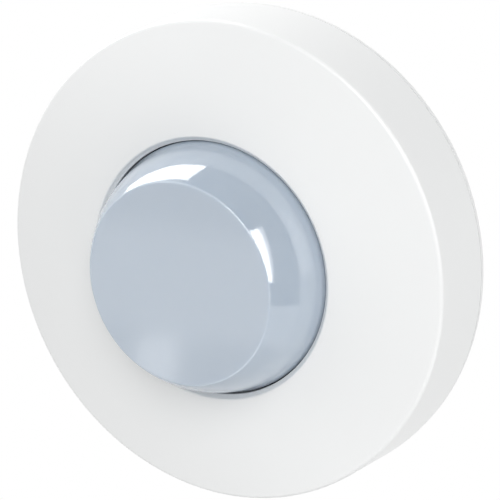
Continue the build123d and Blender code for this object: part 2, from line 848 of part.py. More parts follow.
parts = {
    "base_plate": make_base_plate(),
    "wall_gasket": make_wall_gasket(),
    "cable_grommet": make_cable_grommet(),
    "circuit_board": make_circuit_board(),
    "lens_carrier": make_lens_carrier(),
    "carrier_screws": make_carrier_screws(),
    "cover_ring": make_cover_ring(),
    "lens_cap": make_lens_cap(),
    "sensor_spacer": make_sensor_spacer(),
    "sensor_header": make_sensor_header(),
    "sensor_can": make_sensor_can(),
    "sensor_window": make_sensor_window(),
    "sensor_element": make_sensor_element(),
    "sensor_leads": make_sensor_leads(),
    "light_sensor": make_light_sensor(),
    "ir_receiver": make_ir_receiver(),
    "status_led": make_status_led(),
    "terminal_block": make_terminal_block(),
    "terminal_clamps": make_terminal_clamps(),
    "terminal_pins": make_terminal_pins(),
    "button_case": make_button_case(),
    "button_dome": make_button_dome(),
    "button_plunger": make_button_plunger(),
    "trimmer_bodies": make_trimmer_bodies(),
    "dip_switch_body": make_dip_switch_body(),
    "controller_chip": make_controller_chip(),
    "controller_legs": make_controller_legs(),
    "capacitors": make_capacitors(),
    "output_switch": make_output_switch(),
    "small_parts": make_small_parts(),
}
for name, angle in zip(("time_dial", "light_dial", "range_dial"), dial_angles):
    parts[name] = make_dial(angle)
for index, place in enumerate(pole_places()):
    parts[f"terminal_pusher_{index + 1}"] = make_terminal_pusher(place)
for index, place in enumerate(switch_places()):
    parts[f"dip_slider_{index + 1}"] = make_dip_slider(place)

# Standing the object up turns height above the wall into -Y and up the wall into +Z
for name, shape in parts.items():
    export_step(Rot(90, 0, 0) * shape, f"parts/{name}.step")
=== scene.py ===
# %% [markdown]
# # A wall-mounted presence detector
#
# A presence detector is a slim white housing with a lens in the middle. Behind the lens a heat sensor looks
# for people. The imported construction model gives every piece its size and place. This script gives them
# their finishes, turns the two pieces that the eye meets first from fine outlines, adds the small details
# that only show up close, and lights everything like a product photograph.
#
# All lengths are metres. The wall is the plane y = 0, the lens looks along -Y and +Z is up.

# %% Load the construction model
import json
import bpy
import bmesh
from math import atan2, ceil, cos, hypot, pi, radians, sin, sqrt
from mathutils import Matrix, Vector


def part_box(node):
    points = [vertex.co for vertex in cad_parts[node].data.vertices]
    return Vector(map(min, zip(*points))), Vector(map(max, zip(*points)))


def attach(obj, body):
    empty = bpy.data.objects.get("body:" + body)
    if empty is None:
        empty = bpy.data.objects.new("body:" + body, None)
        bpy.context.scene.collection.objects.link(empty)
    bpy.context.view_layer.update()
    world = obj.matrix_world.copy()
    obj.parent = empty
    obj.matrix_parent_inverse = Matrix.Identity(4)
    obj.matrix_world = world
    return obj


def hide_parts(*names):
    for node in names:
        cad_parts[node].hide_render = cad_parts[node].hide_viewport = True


MM = 0.001
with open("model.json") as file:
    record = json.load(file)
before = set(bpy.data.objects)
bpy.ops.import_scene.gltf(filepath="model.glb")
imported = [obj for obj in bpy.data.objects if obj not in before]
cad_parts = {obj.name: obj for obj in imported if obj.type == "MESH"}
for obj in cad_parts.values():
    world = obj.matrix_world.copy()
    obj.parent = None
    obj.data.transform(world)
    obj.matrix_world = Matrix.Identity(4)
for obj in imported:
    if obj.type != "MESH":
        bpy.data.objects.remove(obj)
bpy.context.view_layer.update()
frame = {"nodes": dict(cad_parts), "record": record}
nodes = frame["nodes"]

# %% [markdown]
# ## The camera
#
# The photograph looks at the housing from its right and from a little above. Its angle, distance and focal
# length were found by fitting the outlines of four circles: the front rim, the rear rim, the hole and the
# lens's flat face. The camera aims past the middle of the front rim, which leaves the housing where it
# stands in the picture.

# %% Camera
VIEW_AZIMUTH = radians(29.57)
VIEW_ELEVATION = radians(16.30)
CAMERA_DISTANCE = 249.4 * MM
AIM_RIGHT = 5.94 * MM
AIM_UP = 2.79 * MM
FIELD_OF_VIEW = radians(18.45)
# The cover's front rim, in millimetres from the wall.
COVER_RIM_HEIGHT = 13.6


def new_object(name, data):
    """Makes an object and puts it in the scene."""
    piece = bpy.data.objects.new(name, data)
    bpy.context.scene.collection.objects.link(piece)
    return piece


def add_camera():
    """Puts the camera where the photograph was taken from."""
    a, e = VIEW_AZIMUTH, VIEW_ELEVATION
    right = Vector((cos(a), sin(a), 0))
    up = Vector((-sin(a) * sin(e), cos(a) * sin(e), cos(e)))
    back = right.cross(up)
    data = bpy.data.cameras.new("camera")
    data.angle = FIELD_OF_VIEW
    camera = new_object("camera", data)
    turn = Matrix((right, up, back)).transposed().to_4x4()
    place = Vector((0, -COVER_RIM_HEIGHT * MM, 0)) + AIM_RIGHT * right + AIM_UP * up + CAMERA_DISTANCE * back
    camera.matrix_world = Matrix.Translation(place) @ turn
    bpy.context.scene.camera = camera
    return camera


camera = add_camera()
print("camera at", [round(value, 4) for value in camera.matrix_world.translation])

# %% [markdown]
# ## Helpers for colours and nodes
#
# Colours are written as they look on a screen, as sRGB hex values. A renderer works with linear light, so
# one function turns the first into the second. Trees of nodes, for shaders and for geometry, take the same
# steps again and again: add a node, change its settings, and give its inputs values or links. One function
# does all of that in one call, which keeps the trees below readable. Its second half, feed, also serves for
# nodes that are already there, such as a new material's shader.


# %% Helpers for colours and nodes
def linear(code, share=1.0):
    """Turns an sRGB hex colour such as "C0C4C8" into linear light, or into a darker share of it."""
    levels = [int(code[place:place + 2], 16) / 255 for place in (0, 2, 4)]
    light = [v / 12.92 if v <= 0.04045 else ((v + 0.055) / 1.055) ** 2.4 for v in levels]
    return tuple(value * share for value in light) + (1.0,)


def feed(node, *values, **inputs):
    """Feeds a node's inputs, in order or by name, where Base_Color means Base Color.

    Each is fed a plain value, an output socket, or a node, which stands for its first output in use.
    """
    for name, value in [*enumerate(values), *inputs.items()]:
        if isinstance(name, int):
            socket = node.inputs[name]
        else:
            socket = next(item for item in node.inputs if item.name == name.replace("_", " ") and item.enabled)
        if isinstance(value, bpy.types.Node):
            value = next(item for item in value.outputs if item.enabled)
        if isinstance(value, bpy.types.NodeSocket):
            node.id_data.links.new(value, socket)
        else:
            socket.default_value = value
    return node


def add(tree, kind, settings=None, *values, **inputs):
    """Adds a node to a tree, with its settings, and feeds its inputs."""
    node = tree.nodes.new(kind)
    for name, value in (settings or {}).items():
        setattr(node, name, value)
    return feed(node, *values, **inputs)


# Settings that come up often: the sums of math nodes, and colours for mixing.
MATH = "ShaderNodeMath"
PLUS, MINUS, TIMES, OVER = ({"operation": name} for name in ("ADD", "SUBTRACT", "MULTIPLY", "DIVIDE"))
TIMES_PLUS = {"operation": "MULTIPLY_ADD"}
COLOURS = {"data_type": "RGBA"}
print("white in linear light:", [round(value, 3) for value in linear("EDEEED")])

# %% [markdown]
# ## Studio light
#
# White plastic needs soft, even light with one brighter side, or its form is lost. Each place on the glossy
# lens mirrors one direction, so the photograph's highlights tell where the soft boxes stood: a tall narrow
# one to the right draws the bright strip, and one behind on the left draws the crescent. Weaker wide ones in
# front and below light the face. Their strengths were found by lighting the scene with each alone and
# solving for the mixture that gives the photograph's brightness in sixty places. In the lens the strip is
# brighter than the shade of the side wall allows, so it is two lamps, of which strip_shine adds gloss only.
#
# Three cards finish the gloss. A dark one beside the strip gives the lens's dark band, and two small pale
# ones give the soft horizon and the bright patch on its flat face. The world is plain white to the camera,
# and also to mirrors and glass, so that they show the same studio.

# %% Soft boxes
bpy.context.scene.view_settings.view_transform = "Standard"
LAMP_DISTANCE = 0.9
SOFT_BOXES = {
    "strip_right": dict(azimuth=74.2, elevation=20, width=0.21, height=0.76, radiance=2.6, tilt=-3.0),
    "strip_shine": dict(azimuth=72.7, elevation=20, width=0.165, height=0.73, radiance=6.0, tilt=0.5,
                        diffuse=False, distance=0.91),
    "box_left_back": dict(azimuth=-109, elevation=43, width=0.30, height=0.86, radiance=6.5, tilt=2.0),
    "box_low_right": dict(azimuth=80, elevation=-31, width=1.1, height=0.6, radiance=1.3, glossy=False),
    "box_front_left": dict(azimuth=-50, elevation=20, width=0.6, height=0.6, radiance=1.3),
    "box_front_right": dict(azimuth=25, elevation=35, width=0.6, height=0.6, radiance=3.95),
    "box_below": dict(azimuth=5, elevation=-50, width=0.8, height=0.5, radiance=1.13),
    "card_horizon": dict(azimuth=-31.3, elevation=-17.1, width=0.17, height=0.08, radiance=0.55, tilt=-9.0),
    "card_patch": dict(azimuth=-32.6, elevation=-20.8, width=0.030, height=0.040, radiance=1.75, tilt=-5.0),
}


def aim_vector(azimuth, elevation):
    """Direction from the housing: azimuth 0 is straight in front, 90 is to the right."""
    a, e = radians(azimuth), radians(elevation)
    return Vector((sin(a) * cos(e), -cos(a) * cos(e), sin(e)))


def add_soft_box(name, azimuth, elevation, width, height, radiance, tilt=0.0, glossy=True, diffuse=True,
                 distance=LAMP_DISTANCE):
    """A soft box that faces the housing and looks as bright as its radiance."""
    data = bpy.data.lights.new(name, "AREA")
    data.shape = "RECTANGLE"
    data.size = width
    data.size_y = height
    data.energy = radiance * pi * width * height
    light = new_object(name, data)
    direction = aim_vector(azimuth, elevation)
    turn = direction.to_track_quat("Z", "Y").to_matrix().to_4x4() @ Matrix.Rotation(radians(tilt), 4, "Z")
    light.matrix_world = Matrix.Translation(direction * distance) @ turn
    light.visible_camera = False
    light.visible_glossy = glossy
    light.visible_diffuse = diffuse
    return light


for name, settings in SOFT_BOXES.items():
    add_soft_box(name, **settings)
print("lights:", ", ".join(SOFT_BOXES))

# %% The dark card
CARD_DISTANCE = 1.2
MOTTLES_IN_A_METRE = 60.0
# Each edge of the card as azimuths and elevations, seen from the housing.
DARK_CARD_OUTER = [(111, -24), (107, -3), (107, 11), (109, 26), (114, 41), (126, 52), (149, 63), (-172, 70),
                   (-140, 64)]
DARK_CARD_INNER = [(74, -21), (74, -3), (74, 11), (74, 26), (66, 41), (55, 50), (30, 62), (-30, 66),
                   (-95, 60)]


def new_material(name):
    """A material, its tree, its shader and the object's own coordinates."""
    material = bpy.data.materials.new(name)
    material.use_nodes = True
    tree = material.node_tree
    return material, tree, tree.nodes["Principled BSDF"], add(tree, "ShaderNodeTexCoord").outputs["Object"]


def add_dark_card(outer, inner):
    """A matt black band that only gloss sees, between two edges given as azimuths and elevations."""
    mesh = bpy.data.meshes.new("dark_card")
    points = [aim_vector(*place) * CARD_DISTANCE for pair in zip(outer, inner) for place in pair]
    faces = [(i, i + 1, i + 3, i + 2) for i in range(0, len(points) - 2, 2)]
    mesh.from_pydata(points, [], faces)
    card = new_object("dark_card", mesh)
    # Black card: so dull that it shows only as darkness in the gloss.
    material, tree, shader, place = new_material("black card")
    mottle = add(tree, "ShaderNodeTexNoise", Vector=place, Scale=MOTTLES_IN_A_METRE)
    tint = add(tree, "ShaderNodeMix", COLOURS, Factor=mottle, A=linear("0A0A0A"), B=linear("121212"))
    feed(shader, Base_Color=tint, Roughness=1.0)
    mesh.materials.append(material)
    for rays in ("camera", "diffuse", "shadow", "transmission"):
        setattr(card, "visible_" + rays, False)
    return card


dark_card = add_dark_card(DARK_CARD_OUTER, DARK_CARD_INNER)
print("dark card:", len(dark_card.data.polygons), "faces")

# %% Surroundings
ROOM_LIGHT = 0.318
WHITE = 1.0


def add_world():
    """Pale surroundings for the light, plain white for the camera, for gloss and for glass."""
    world = bpy.data.worlds.new("studio")
    world.use_nodes = True
    tree = world.node_tree
    tree.nodes.clear()
    path = add(tree, "ShaderNodeLightPath").outputs
    mirrored = add(tree, MATH, {"operation": "MAXIMUM"}, path["Is Glossy Ray"], path["Is Transmission Ray"])
    shown = add(tree, MATH, {"operation": "MAXIMUM"}, path["Is Camera Ray"], mirrored)
    room = add(tree, "ShaderNodeBackground", Color=(1, 1, 1, 1), Strength=ROOM_LIGHT)
    seen = add(tree, "ShaderNodeBackground", Color=(1, 1, 1, 1), Strength=WHITE)
    mix = add(tree, "ShaderNodeMixShader", None, shown, room, seen)
    add(tree, "ShaderNodeOutputWorld", Surface=mix)
    bpy.context.scene.world = world


add_world()
print("the room shines with a strength of", ROOM_LIGHT)

# %% [markdown]
# ## The floor
#
# The housing hangs on a wall, so nothing stands under it in the picture. A plain pale floor lies nearly a
# metre below, out of the camera's view, and gives the pale light from below that a studio floor gives.

# %% Floor
FLOOR_DROP = 0.9
FLOOR_RADIUS = 0.6
FLOOR_SEGMENTS = 96
FLOOR_CLOUD = 0.25


def mesh_of(name, shape):
    """Turns a shape that was being edited into a mesh."""
    mesh = bpy.data.meshes.new(name)
    shape.to_mesh(mesh)
    shape.free()
    return mesh


def add_floor():
    """A round pale floor far below the housing."""
    shape = bmesh.new()
    bmesh.ops.create_circle(shape, cap_ends=True, segments=FLOOR_SEGMENTS, radius=FLOOR_RADIUS)
    bmesh.ops.translate(shape, verts=shape.verts, vec=(0, 0, -FLOOR_DROP))
    floor = new_object("floor", mesh_of("floor", shape))
    # Matt wall paint: an even pale ground without any gloss.
    material, tree, shader, place = new_material("matt studio paint")
    cloud = add(tree, "ShaderNodeTexNoise", Vector=place, Scale=1 / FLOOR_CLOUD, Detail=3.0)
    tint = add(tree, "ShaderNodeMix", COLOURS, Factor=cloud, A=linear("F2F2F0"), B=linear("ECECEA"))
    feed(shader, Base_Color=tint, Roughness=0.9)
    floor.data.materials.append(material)


add_floor()
print("floor", FLOOR_DROP, "m below")

# %% [markdown]
# ## Finishes: moulded plastics
#
# Nearly everything here is injection-moulded plastic. The mould's surface decides the finish: a mould that was
# spark-eroded leaves a fine even grain, a polished one leaves gloss. So one function makes them all, from a
# colour, a roughness, the grain's size in millimetres and its height. Two noises do the work. A coarse one
# shifts the colour a little, as pigment does in real mouldings, and a fine one drives the bump. A grain of
# 0.1 mm is too fine for the picture, so it is drawn at about 0.3 mm where it has to show.


# %% Moulded plastic
# A noise texture's values lie nearly all between these two.
NOISE_LOW, NOISE_HIGH = 0.3, 0.7
# How far the grain moves a plastic's roughness, as shares of it.
GRAIN_SMOOTH, GRAIN_ROUGH = 0.92, 1.12


def moulded(name, colour, roughness, grain, height, pigment=0.03, cloud=6.0, ior=1.49, depth=0.0):
    """Moulded plastic: grain, height, cloud and depth in millimetres, pigment as a share of the colour."""
    material, tree, shader, place = new_material(name)
    shift = add(tree, "ShaderNodeTexNoise", Vector=place, Scale=1 / (cloud * MM), Detail=4.0, Roughness=0.6)
    tint = add(tree, "ShaderNodeMix", COLOURS, Factor=shift, A=linear(colour), B=linear(colour, 1 - pigment))
    fine = add(tree, "ShaderNodeTexNoise", Vector=place, Scale=1 / (grain * MM), Detail=2.0, Roughness=0.7)
    spread = add(tree, "ShaderNodeMapRange", Value=fine, From_Min=NOISE_LOW, From_Max=NOISE_HIGH,
                 To_Min=roughness * GRAIN_SMOOTH, To_Max=roughness * GRAIN_ROUGH)
    bump = add(tree, "ShaderNodeBump", Height=fine, Strength=1.0, Distance=height * MM)
    feed(shader, Base_Color=tint, Roughness=spread, Normal=bump, IOR=ior)
    if depth:
        shader.subsurface_method = "RANDOM_WALK"
        feed(shader, Subsurface_Weight=1.0, Subsurface_Radius=(1, 1, 1), Subsurface_Scale=depth * MM)
    return material


# ABS with white pigment from a finely spark-eroded mould: a calm satin white with soft, wide highlights.
white_abs = moulded("white moulded ABS", "EDEEEE", 0.30, 0.30, 0.004, pigment=0.012, ior=1.54)
# Tinted polyethylene from a polished mould: glossy, cool grey, and milky because light goes a little way in.
# Its index is above polyethylene's 1.53, because the photograph's reflections are that strong.
lens_polyethylene = moulded("tinted moulded polyethylene", "B7C2CE", 0.075, 3.0, 0.0008, pigment=0.02,
                            cloud=14.0, ior=1.8, depth=1.2)
# Glass-filled PBT from an eroded mould: nearly black and matt.
black_pbt = moulded("black moulded PBT", "1E1F21", 0.55, 0.25, 0.012, pigment=0.15, ior=1.55)
# Polyamide, as terminals and buttons are made of: satin, a little waxy.
grey_polyamide = moulded("grey moulded polyamide", "A5A9AD", 0.42, 0.35, 0.008)
orange_polyamide = moulded("orange moulded polyamide", "DB7A2A", 0.40, 0.35, 0.006)
black_polyamide = moulded("black moulded polyamide", "242528", 0.45, 0.30, 0.008, pigment=0.12)
# POM, as pieces that slide or turn are made of: smooth and slippery, so it has a gentle sheen.
ivory_pom = moulded("ivory moulded POM", "DAD8CF", 0.28, 0.40, 0.004)
white_pom = moulded("white moulded POM", "E6E6E2", 0.30, 0.40, 0.005)
# PBT without glass, as small switches and dials have for a body: an even, deep colour with a dull shine.
blue_pbt = moulded("blue moulded PBT", "2F5FA8", 0.40, 0.30, 0.007, pigment=0.08)
# The relay's case, moulded round its works: cream, satin and quite plain.
cream_relay = moulded("cream moulded relay case", "DEDCD3", 0.36, 0.35, 0.006)
# Filled epoxy, cast round the chip: dull and slightly sandy.
chip_epoxy = moulded("black chip epoxy", "1B1C1E", 0.62, 0.18, 0.010, pigment=0.2, cloud=1.5)
# Smooth chloroprene: soft and dull, with a faint bloom in its colour.
grommet_rubber = moulded("grey moulded rubber", "8E9193", 0.68, 0.40, 0.015, pigment=0.10, cloud=3.0, ior=1.52)
# Fired alumina on the small parts: pale, fine-grained and dry.
fired_ceramic = moulded("fired ceramic", "A88F6C", 0.50, 0.15, 0.006, pigment=0.15, cloud=0.8, ior=1.76)
# The sensor's element is ceramic too, but paler and without a glaze.
element_ceramic = moulded("unglazed sensor ceramic", "D8D5C8", 0.55, 0.15, 0.006, pigment=0.06, cloud=1.0,
                          ior=1.76)
print("materials with the plastics:", len(bpy.data.materials))

# %% [markdown]
# ## Finishes: metals
#
# The metals are sheet, wire and plated screws. Metal has no colour of its own apart from its reflection, so
# the base colour is the tint of that reflection. Rolling and drawing leave fine lines. They are drawn by a
# noise that is squeezed along one direction, and they change both roughness and bump.


# %% Metals
LINES_SMOOTH, LINES_ROUGH = 0.8, 1.3
TARNISH_PATCH = 1.5 * MM


def metal(name, colour, roughness, line_width, stretch, height, tarnish=0.06):
    """Metal with fine lines: line_width and height in millimetres, stretch is how often along each axis."""
    material, tree, shader, place = new_material(name)
    turned = add(tree, "ShaderNodeMapping", Vector=place, Scale=stretch)
    lines = add(tree, "ShaderNodeTexNoise", Vector=turned, Scale=1 / (line_width * MM), Detail=3.0)
    patches = add(tree, "ShaderNodeTexNoise", Vector=place, Scale=1 / TARNISH_PATCH, Detail=3.0)
    tint = add(tree, "ShaderNodeMix", COLOURS, Factor=patches, A=linear(colour), B=linear(colour, 1 - tarnish))
    spread = add(tree, "ShaderNodeMapRange", Value=lines, From_Min=NOISE_LOW, From_Max=NOISE_HIGH,
                 To_Min=roughness * LINES_SMOOTH, To_Max=roughness * LINES_ROUGH)
    bump = add(tree, "ShaderNodeBump", Height=lines, Strength=1.0, Distance=height * MM)
    feed(shader, Base_Color=tint, Roughness=spread, Normal=bump, Metallic=1.0)
    return material


EVEN = (1, 1, 1)
ALONG_X = (0.08, 1, 1)
ALONG_Y = (1, 0.08, 1)
# Bright zinc on the screws: bluish, slightly cloudy.
zinc_plate = metal("bright zinc plate", "C3C7CB", 0.28, 0.5, EVEN, 0.003, tarnish=0.12)
# Nickel on the sensor's drawn can: warmer, with faint lines along the draw.
nickel_plate = metal("nickel-plated can", "CFCBC2", 0.22, 0.15, ALONG_Y, 0.003)
# Tin on leads and pins: soft and a bit cloudy.
tin_plate = metal("bright tin plate", "CDCCC8", 0.24, 0.35, EVEN, 0.004, tarnish=0.12)
# Stainless spring strip: bright, with the fine lines of the rolls.
spring_strip = metal("rolled spring strip", "B4B4B2", 0.26, 0.12, ALONG_X, 0.002)
# The capacitors' drawn aluminium cans: pale and silky, with lines along the draw.
drawn_aluminium = metal("drawn aluminium can", "CFCFD1", 0.30, 0.12, ALONG_Y, 0.003)
print("materials with the metals:", len(bpy.data.materials))

# %% [markdown]
# ## Finishes: board, foam, epoxies and ink
#
# The board is glass cloth in resin under a green solder mask. The cloth's weave shows faintly through the
# mask, at a thread spacing of about 0.5 mm, so two sine waves crossed at right angles draw it. Foam is a
# Voronoi pattern, whose cells look like cut bubbles, and painted shade darkens the bubbles' hollows. Clear,
# smoked and red epoxies are real glass-like shaders, because their gloss and their depth are what one
# notices on them.

# %% Board, foam, epoxies and ink
THREAD = 0.5 * MM
MASK_CLOUD = 5 * MM
BUBBLE = 0.4 * MM
FLOW = 1.2 * MM


def solder_mask():
    """Green mask over glass cloth, a little lighter where the weave's threads lie."""
    material, tree, shader, place = new_material("green solder mask on glass cloth")
    axes = add(tree, "ShaderNodeSeparateXYZ", Vector=place).outputs
    turns = [add(tree, MATH, TIMES, axes[axis], 2 * pi / THREAD) for axis in ("X", "Z")]
    waves = [add(tree, MATH, {"operation": "SINE"}, turn) for turn in turns]
    weave = add(tree, MATH, TIMES_PLUS, add(tree, MATH, TIMES, *waves), 0.5, 0.5)
    stain = add(tree, "ShaderNodeTexNoise", Vector=place, Scale=1 / MASK_CLOUD, Detail=4.0)
    share = add(tree, MATH, TIMES, add(tree, MATH, PLUS, weave, stain), 0.5)
    tint = add(tree, "ShaderNodeMix", COLOURS, Factor=share, A=linear("1B5A37"), B=linear("24694A"))
    bump = add(tree, "ShaderNodeBump", Height=weave, Strength=0.6, Distance=0.004 * MM)
    feed(shader, Base_Color=tint, Normal=bump, Roughness=0.26, IOR=1.52)
    return material


def cut_foam():
    """Closed-cell foam, whose cut bubbles show at the surface, with painted shade in their hollows."""
    material, tree, shader, place = new_material("closed-cell foam rubber")
    cells = add(tree, "ShaderNodeTexVoronoi", Vector=place, Scale=1 / BUBBLE)
    # Painted shade: the darker grey goes where the cells' distance is small, which the bump makes the bubbles'
    # sunk hollows.
    tint = add(tree, "ShaderNodeMix", COLOURS, Factor=cells, A=linear("5A5B5D"), B=linear("84868A"))
    bump = add(tree, "ShaderNodeBump", Height=cells, Strength=1.0, Distance=0.05 * MM)
    feed(shader, Base_Color=tint, Normal=bump, Roughness=0.9)
    return material


def cast_epoxy(name, colour, roughness, clear):
    """Cast epoxy, from 0 for opaque to 1 for clear, with a faint flow pattern on its skin."""
    material, tree, shader, place = new_material(name)
    flow = add(tree, "ShaderNodeTexNoise", Vector=place, Scale=1 / FLOW, Detail=2.0, Distortion=0.6)
    tint = add(tree, "ShaderNodeMix", COLOURS, Factor=flow, A=linear(colour), B=linear(colour, 0.9))
    bump = add(tree, "ShaderNodeBump", Height=flow, Strength=0.5, Distance=0.01 * MM)
    feed(shader, Base_Color=tint, Normal=bump, Roughness=roughness, IOR=1.54, Transmission_Weight=clear)
    return material


# The board's mask is glossy and deep green, and the cloth's weave glints faintly under it.
board_mask = solder_mask()
# The seal behind the base plate is dull and soft, and painted shade darkens its bubbles' hollows.
foam = cut_foam()
# Water-clear, smoked and red resin round the light sensor, the receiver and the lamp: wet-looking drops.
clear_epoxy = cast_epoxy("clear cast epoxy", "E8ECEE", 0.05, 0.9)
smoked_epoxy = cast_epoxy("smoked cast epoxy", "2A222B", 0.12, 0.1)
red_epoxy = cast_epoxy("red cast epoxy", "C4302A", 0.12, 0.45)
# The sensor's window is a polished silicon filter: a nearly black mirror.
window_filter = cast_epoxy("polished dark filter", "2A2830", 0.04, 0.0)
# Printed ink lies matt on the board, and solder mask over copper is a smoother, yellower green.
white_ink = moulded("white legend ink", "E4E6E2", 0.60, 0.10, 0.004, pigment=0.05, cloud=0.5)
# The black ink also paints the shade inside the vias' holes.
black_ink_and_hole_shade = moulded("black legend ink and painted hole shade", "1C1C1E", 0.55, 0.10, 0.004, pigment=0.10, cloud=0.5)
track_mask = moulded("solder mask over copper", "338757", 0.24, 0.60, 0.002, pigment=0.08, cloud=3.0, ior=1.52)
print("materials in all:", len(bpy.data.materials))

# %% [markdown]
# ## Give the construction pieces their finishes
#
# The record names a material slot for every piece. A table from slot to finish dresses them all in one loop,
# so a piece can't be forgotten. Each piece's own mesh stays as it is.

# %% Dress the construction pieces
FINISHES = {
    "white_housing": white_abs, "lens_plastic": lens_polyethylene, "black_plastic": black_pbt,
    "foam_rubber": foam, "grommet_rubber": grommet_rubber, "board_laminate": board_mask,
    "screw_steel": zinc_plate, "sensor_metal": nickel_plate, "window_filter": window_filter,
    "element_ceramic": element_ceramic, "tinned_metal": tin_plate, "clear_epoxy": clear_epoxy,
    "dark_epoxy": smoked_epoxy, "red_epoxy": red_epoxy, "terminal_plastic": grey_polyamide,
    "pusher_plastic": orange_polyamide, "spring_steel": spring_strip, "switch_plastic": black_polyamide,
    "button_plastic": ivory_pom, "trimmer_plastic": blue_pbt, "dial_plastic": white_pom,
    "dip_plastic": blue_pbt, "slider_plastic": white_pom, "chip_epoxy": chip_epoxy,
    "capacitor_can": drawn_aluminium, "relay_plastic": cream_relay, "chip_ceramic": fired_ceramic,
}
for subpart in frame["record"]["subparts"]:
    node = nodes[subpart["node"]]
    node.data.materials.clear()
    node.data.materials.append(FINISHES[subpart["material_slot"]])

# %% [markdown]
# ## Turning a piece from its outline
#
# The cover and the lens are round, so each is one outline turned about the axis, as on a lathe. Geometry
# Nodes does that here: a grid has one column for each point of the outline and one row for each step round
# the axis. Every grid point looks up its outline point and turns it by its row's angle. The seam is then
# merged. A closed outline, such as a ring's, needs one more column than it has points.


# %% The lathe tree
def new_tree(name, **inputs):
    """An empty Geometry Nodes tree with named inputs. Returns the tree and its input sockets."""
    tree = bpy.data.node_groups.new(name, "GeometryNodeTree")
    tree.interface.new_socket("Geometry", in_out="INPUT", socket_type="NodeSocketGeometry")
    for label, kind in inputs.items():
        tree.interface.new_socket(label, in_out="INPUT", socket_type="NodeSocket" + kind)
    tree.interface.new_socket("Geometry", in_out="OUTPUT", socket_type="NodeSocketGeometry")
    return tree, add(tree, "NodeGroupInput").outputs


def finish_tree(tree, geometry, material):
    """Ends a tree with plain smooth geometry in one finish."""
    smooth = add(tree, "GeometryNodeSetShadeSmooth", Geometry=geometry)
    real = add(tree, "GeometryNodeRealizeInstances", Geometry=smooth)
    dressed = add(tree, "GeometryNodeSetMaterial", Geometry=real, Material=material)
    add(tree, "NodeGroupOutput", Geometry=dressed)


def lathe_tree():
    """Turns an outline, given as points with x as radius and y as depth, about the Y axis."""
    tree, given = new_tree("turn an outline", Segments="Int", Closed="Int", Finish="Material")
    size = add(tree, "GeometryNodeAttributeDomainSize", Geometry=given["Geometry"])
    count = size.outputs["Point Count"]
    rows = add(tree, MATH, PLUS, given["Segments"], 1)
    columns = add(tree, MATH, PLUS, count, given["Closed"])
    grid = add(tree, "GeometryNodeMeshGrid", Vertices_X=columns, Vertices_Y=rows)
    index = add(tree, "GeometryNodeInputIndex")
    share = add(tree, MATH, OVER, add(tree, MATH, PLUS, index, 0.5), rows)
    column = add(tree, MATH, {"operation": "FLOOR"}, share)
    row = add(tree, MATH, MINUS, index, add(tree, MATH, TIMES, column, rows))
    wrapped = add(tree, MATH, {"operation": "MODULO"}, column, count)
    outline = add(tree, "GeometryNodeSampleIndex", {"data_type": "FLOAT_VECTOR"}, Geometry=given["Geometry"],
                  Value=add(tree, "GeometryNodeInputPosition"), Index=wrapped)
    angle = add(tree, MATH, OVER, add(tree, MATH, TIMES, row, 2 * pi), given["Segments"])
    turned = add(tree, "ShaderNodeVectorRotate", {"rotation_type": "Y_AXIS"}, Vector=outline, Angle=angle)
    shape = add(tree, "GeometryNodeSetPosition", Geometry=grid, Position=turned)
    joined = add(tree, "GeometryNodeMergeByDistance", Geometry=shape, Distance=0.002 * MM)
    finish_tree(tree, joined, given["Finish"])
    return tree


LATHE = lathe_tree()
print("lathe tree has", len(LATHE.nodes), "nodes")

# %% From a tree to a plain piece
SEGMENTS = 288


def plain_mesh(piece):
    """The mesh that a piece's modifiers make, or the mesh of a piece of text."""
    bpy.context.view_layer.update()
    return bpy.data.meshes.new_from_object(piece.evaluated_get(bpy.context.evaluated_depsgraph_get()))


def grow(name, tree, base, **settings):
    """Runs a tree on a base mesh and keeps the result as a plain mesh piece."""
    holder = new_object(name + "_plan", base)
    modifier = holder.modifiers.new("build", "NODES")
    modifier.node_group = tree
    for item in tree.interface.items_tree:
        if item.in_out == "INPUT" and item.name in settings:
            modifier[item.identifier] = settings[item.name]
    mesh = plain_mesh(holder)
    bpy.data.objects.remove(holder)
    mesh.name = name
    mesh.materials.clear()
    mesh.materials.append(settings["Finish"])
    mesh.polygons.foreach_set("material_index", [0] * len(mesh.polygons))
    return new_object(name, mesh)


def clean(piece, sharp=40.0):
    """Closes seams, turns the faces outward and keeps corners above an angle crisp."""
    shape = bmesh.new()
    shape.from_mesh(piece.data)
    bmesh.ops.remove_doubles(shape, verts=shape.verts, dist=0.001 * MM)
    loose = [edge for edge in shape.edges if not edge.link_faces]
    bmesh.ops.delete(shape, geom=loose, context="EDGES")
    bmesh.ops.recalc_face_normals(shape, faces=shape.faces)
    shape.to_mesh(piece.data)
    shape.free()
    piece.data.shade_smooth()
    piece.data.set_sharp_from_angle(angle=radians(sharp))
    return piece


def outline_mesh(points):
    """Points of an outline, as radius and height in millimetres, as a mesh without faces."""
    mesh = bpy.data.meshes.new("outline")
    mesh.from_pydata([(radius * MM, -height * MM, 0) for radius, height in points], [], [])
    return mesh


print("round pieces take", SEGMENTS, "steps round the axis")

# %% [markdown]
# ## The cover
#
# The cover is the white ring around the lens: a thin moulded shell. Its side wall widens a little towards the
# wall, so that it leaves the mould. Its face is slightly crowned, so its points come from a large ball. At
# the hole it rolls over tightly. The hole's wall first leans inward, which shows as a pale crescent beside
# the lens, and then opens again, which leaves the dark gap. Corners are rounded by a small function that
# replaces a corner with an arc, and one more point beside each arc keeps the shading of flat areas calm.

# %% Sizes of the cover, in millimetres
COVER_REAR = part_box("cover_ring")[1].x / MM
COVER_WIDENING = 1.25
COVER_FRONT = COVER_REAR - COVER_WIDENING
COVER_REAR_HEIGHT = 0.78
CROWN_RISE = 2.05
COVER_WALL = 1.8
SKIRT_WALL = 1.6
REAR_ROUNDING = 0.3
RIM_ROUNDING = 0.75
# The crown passes through the rim and through a point near the hole.
LIP_RADIUS = 23.7
LIP_HEIGHT = COVER_RIM_HEIGHT + CROWN_RISE
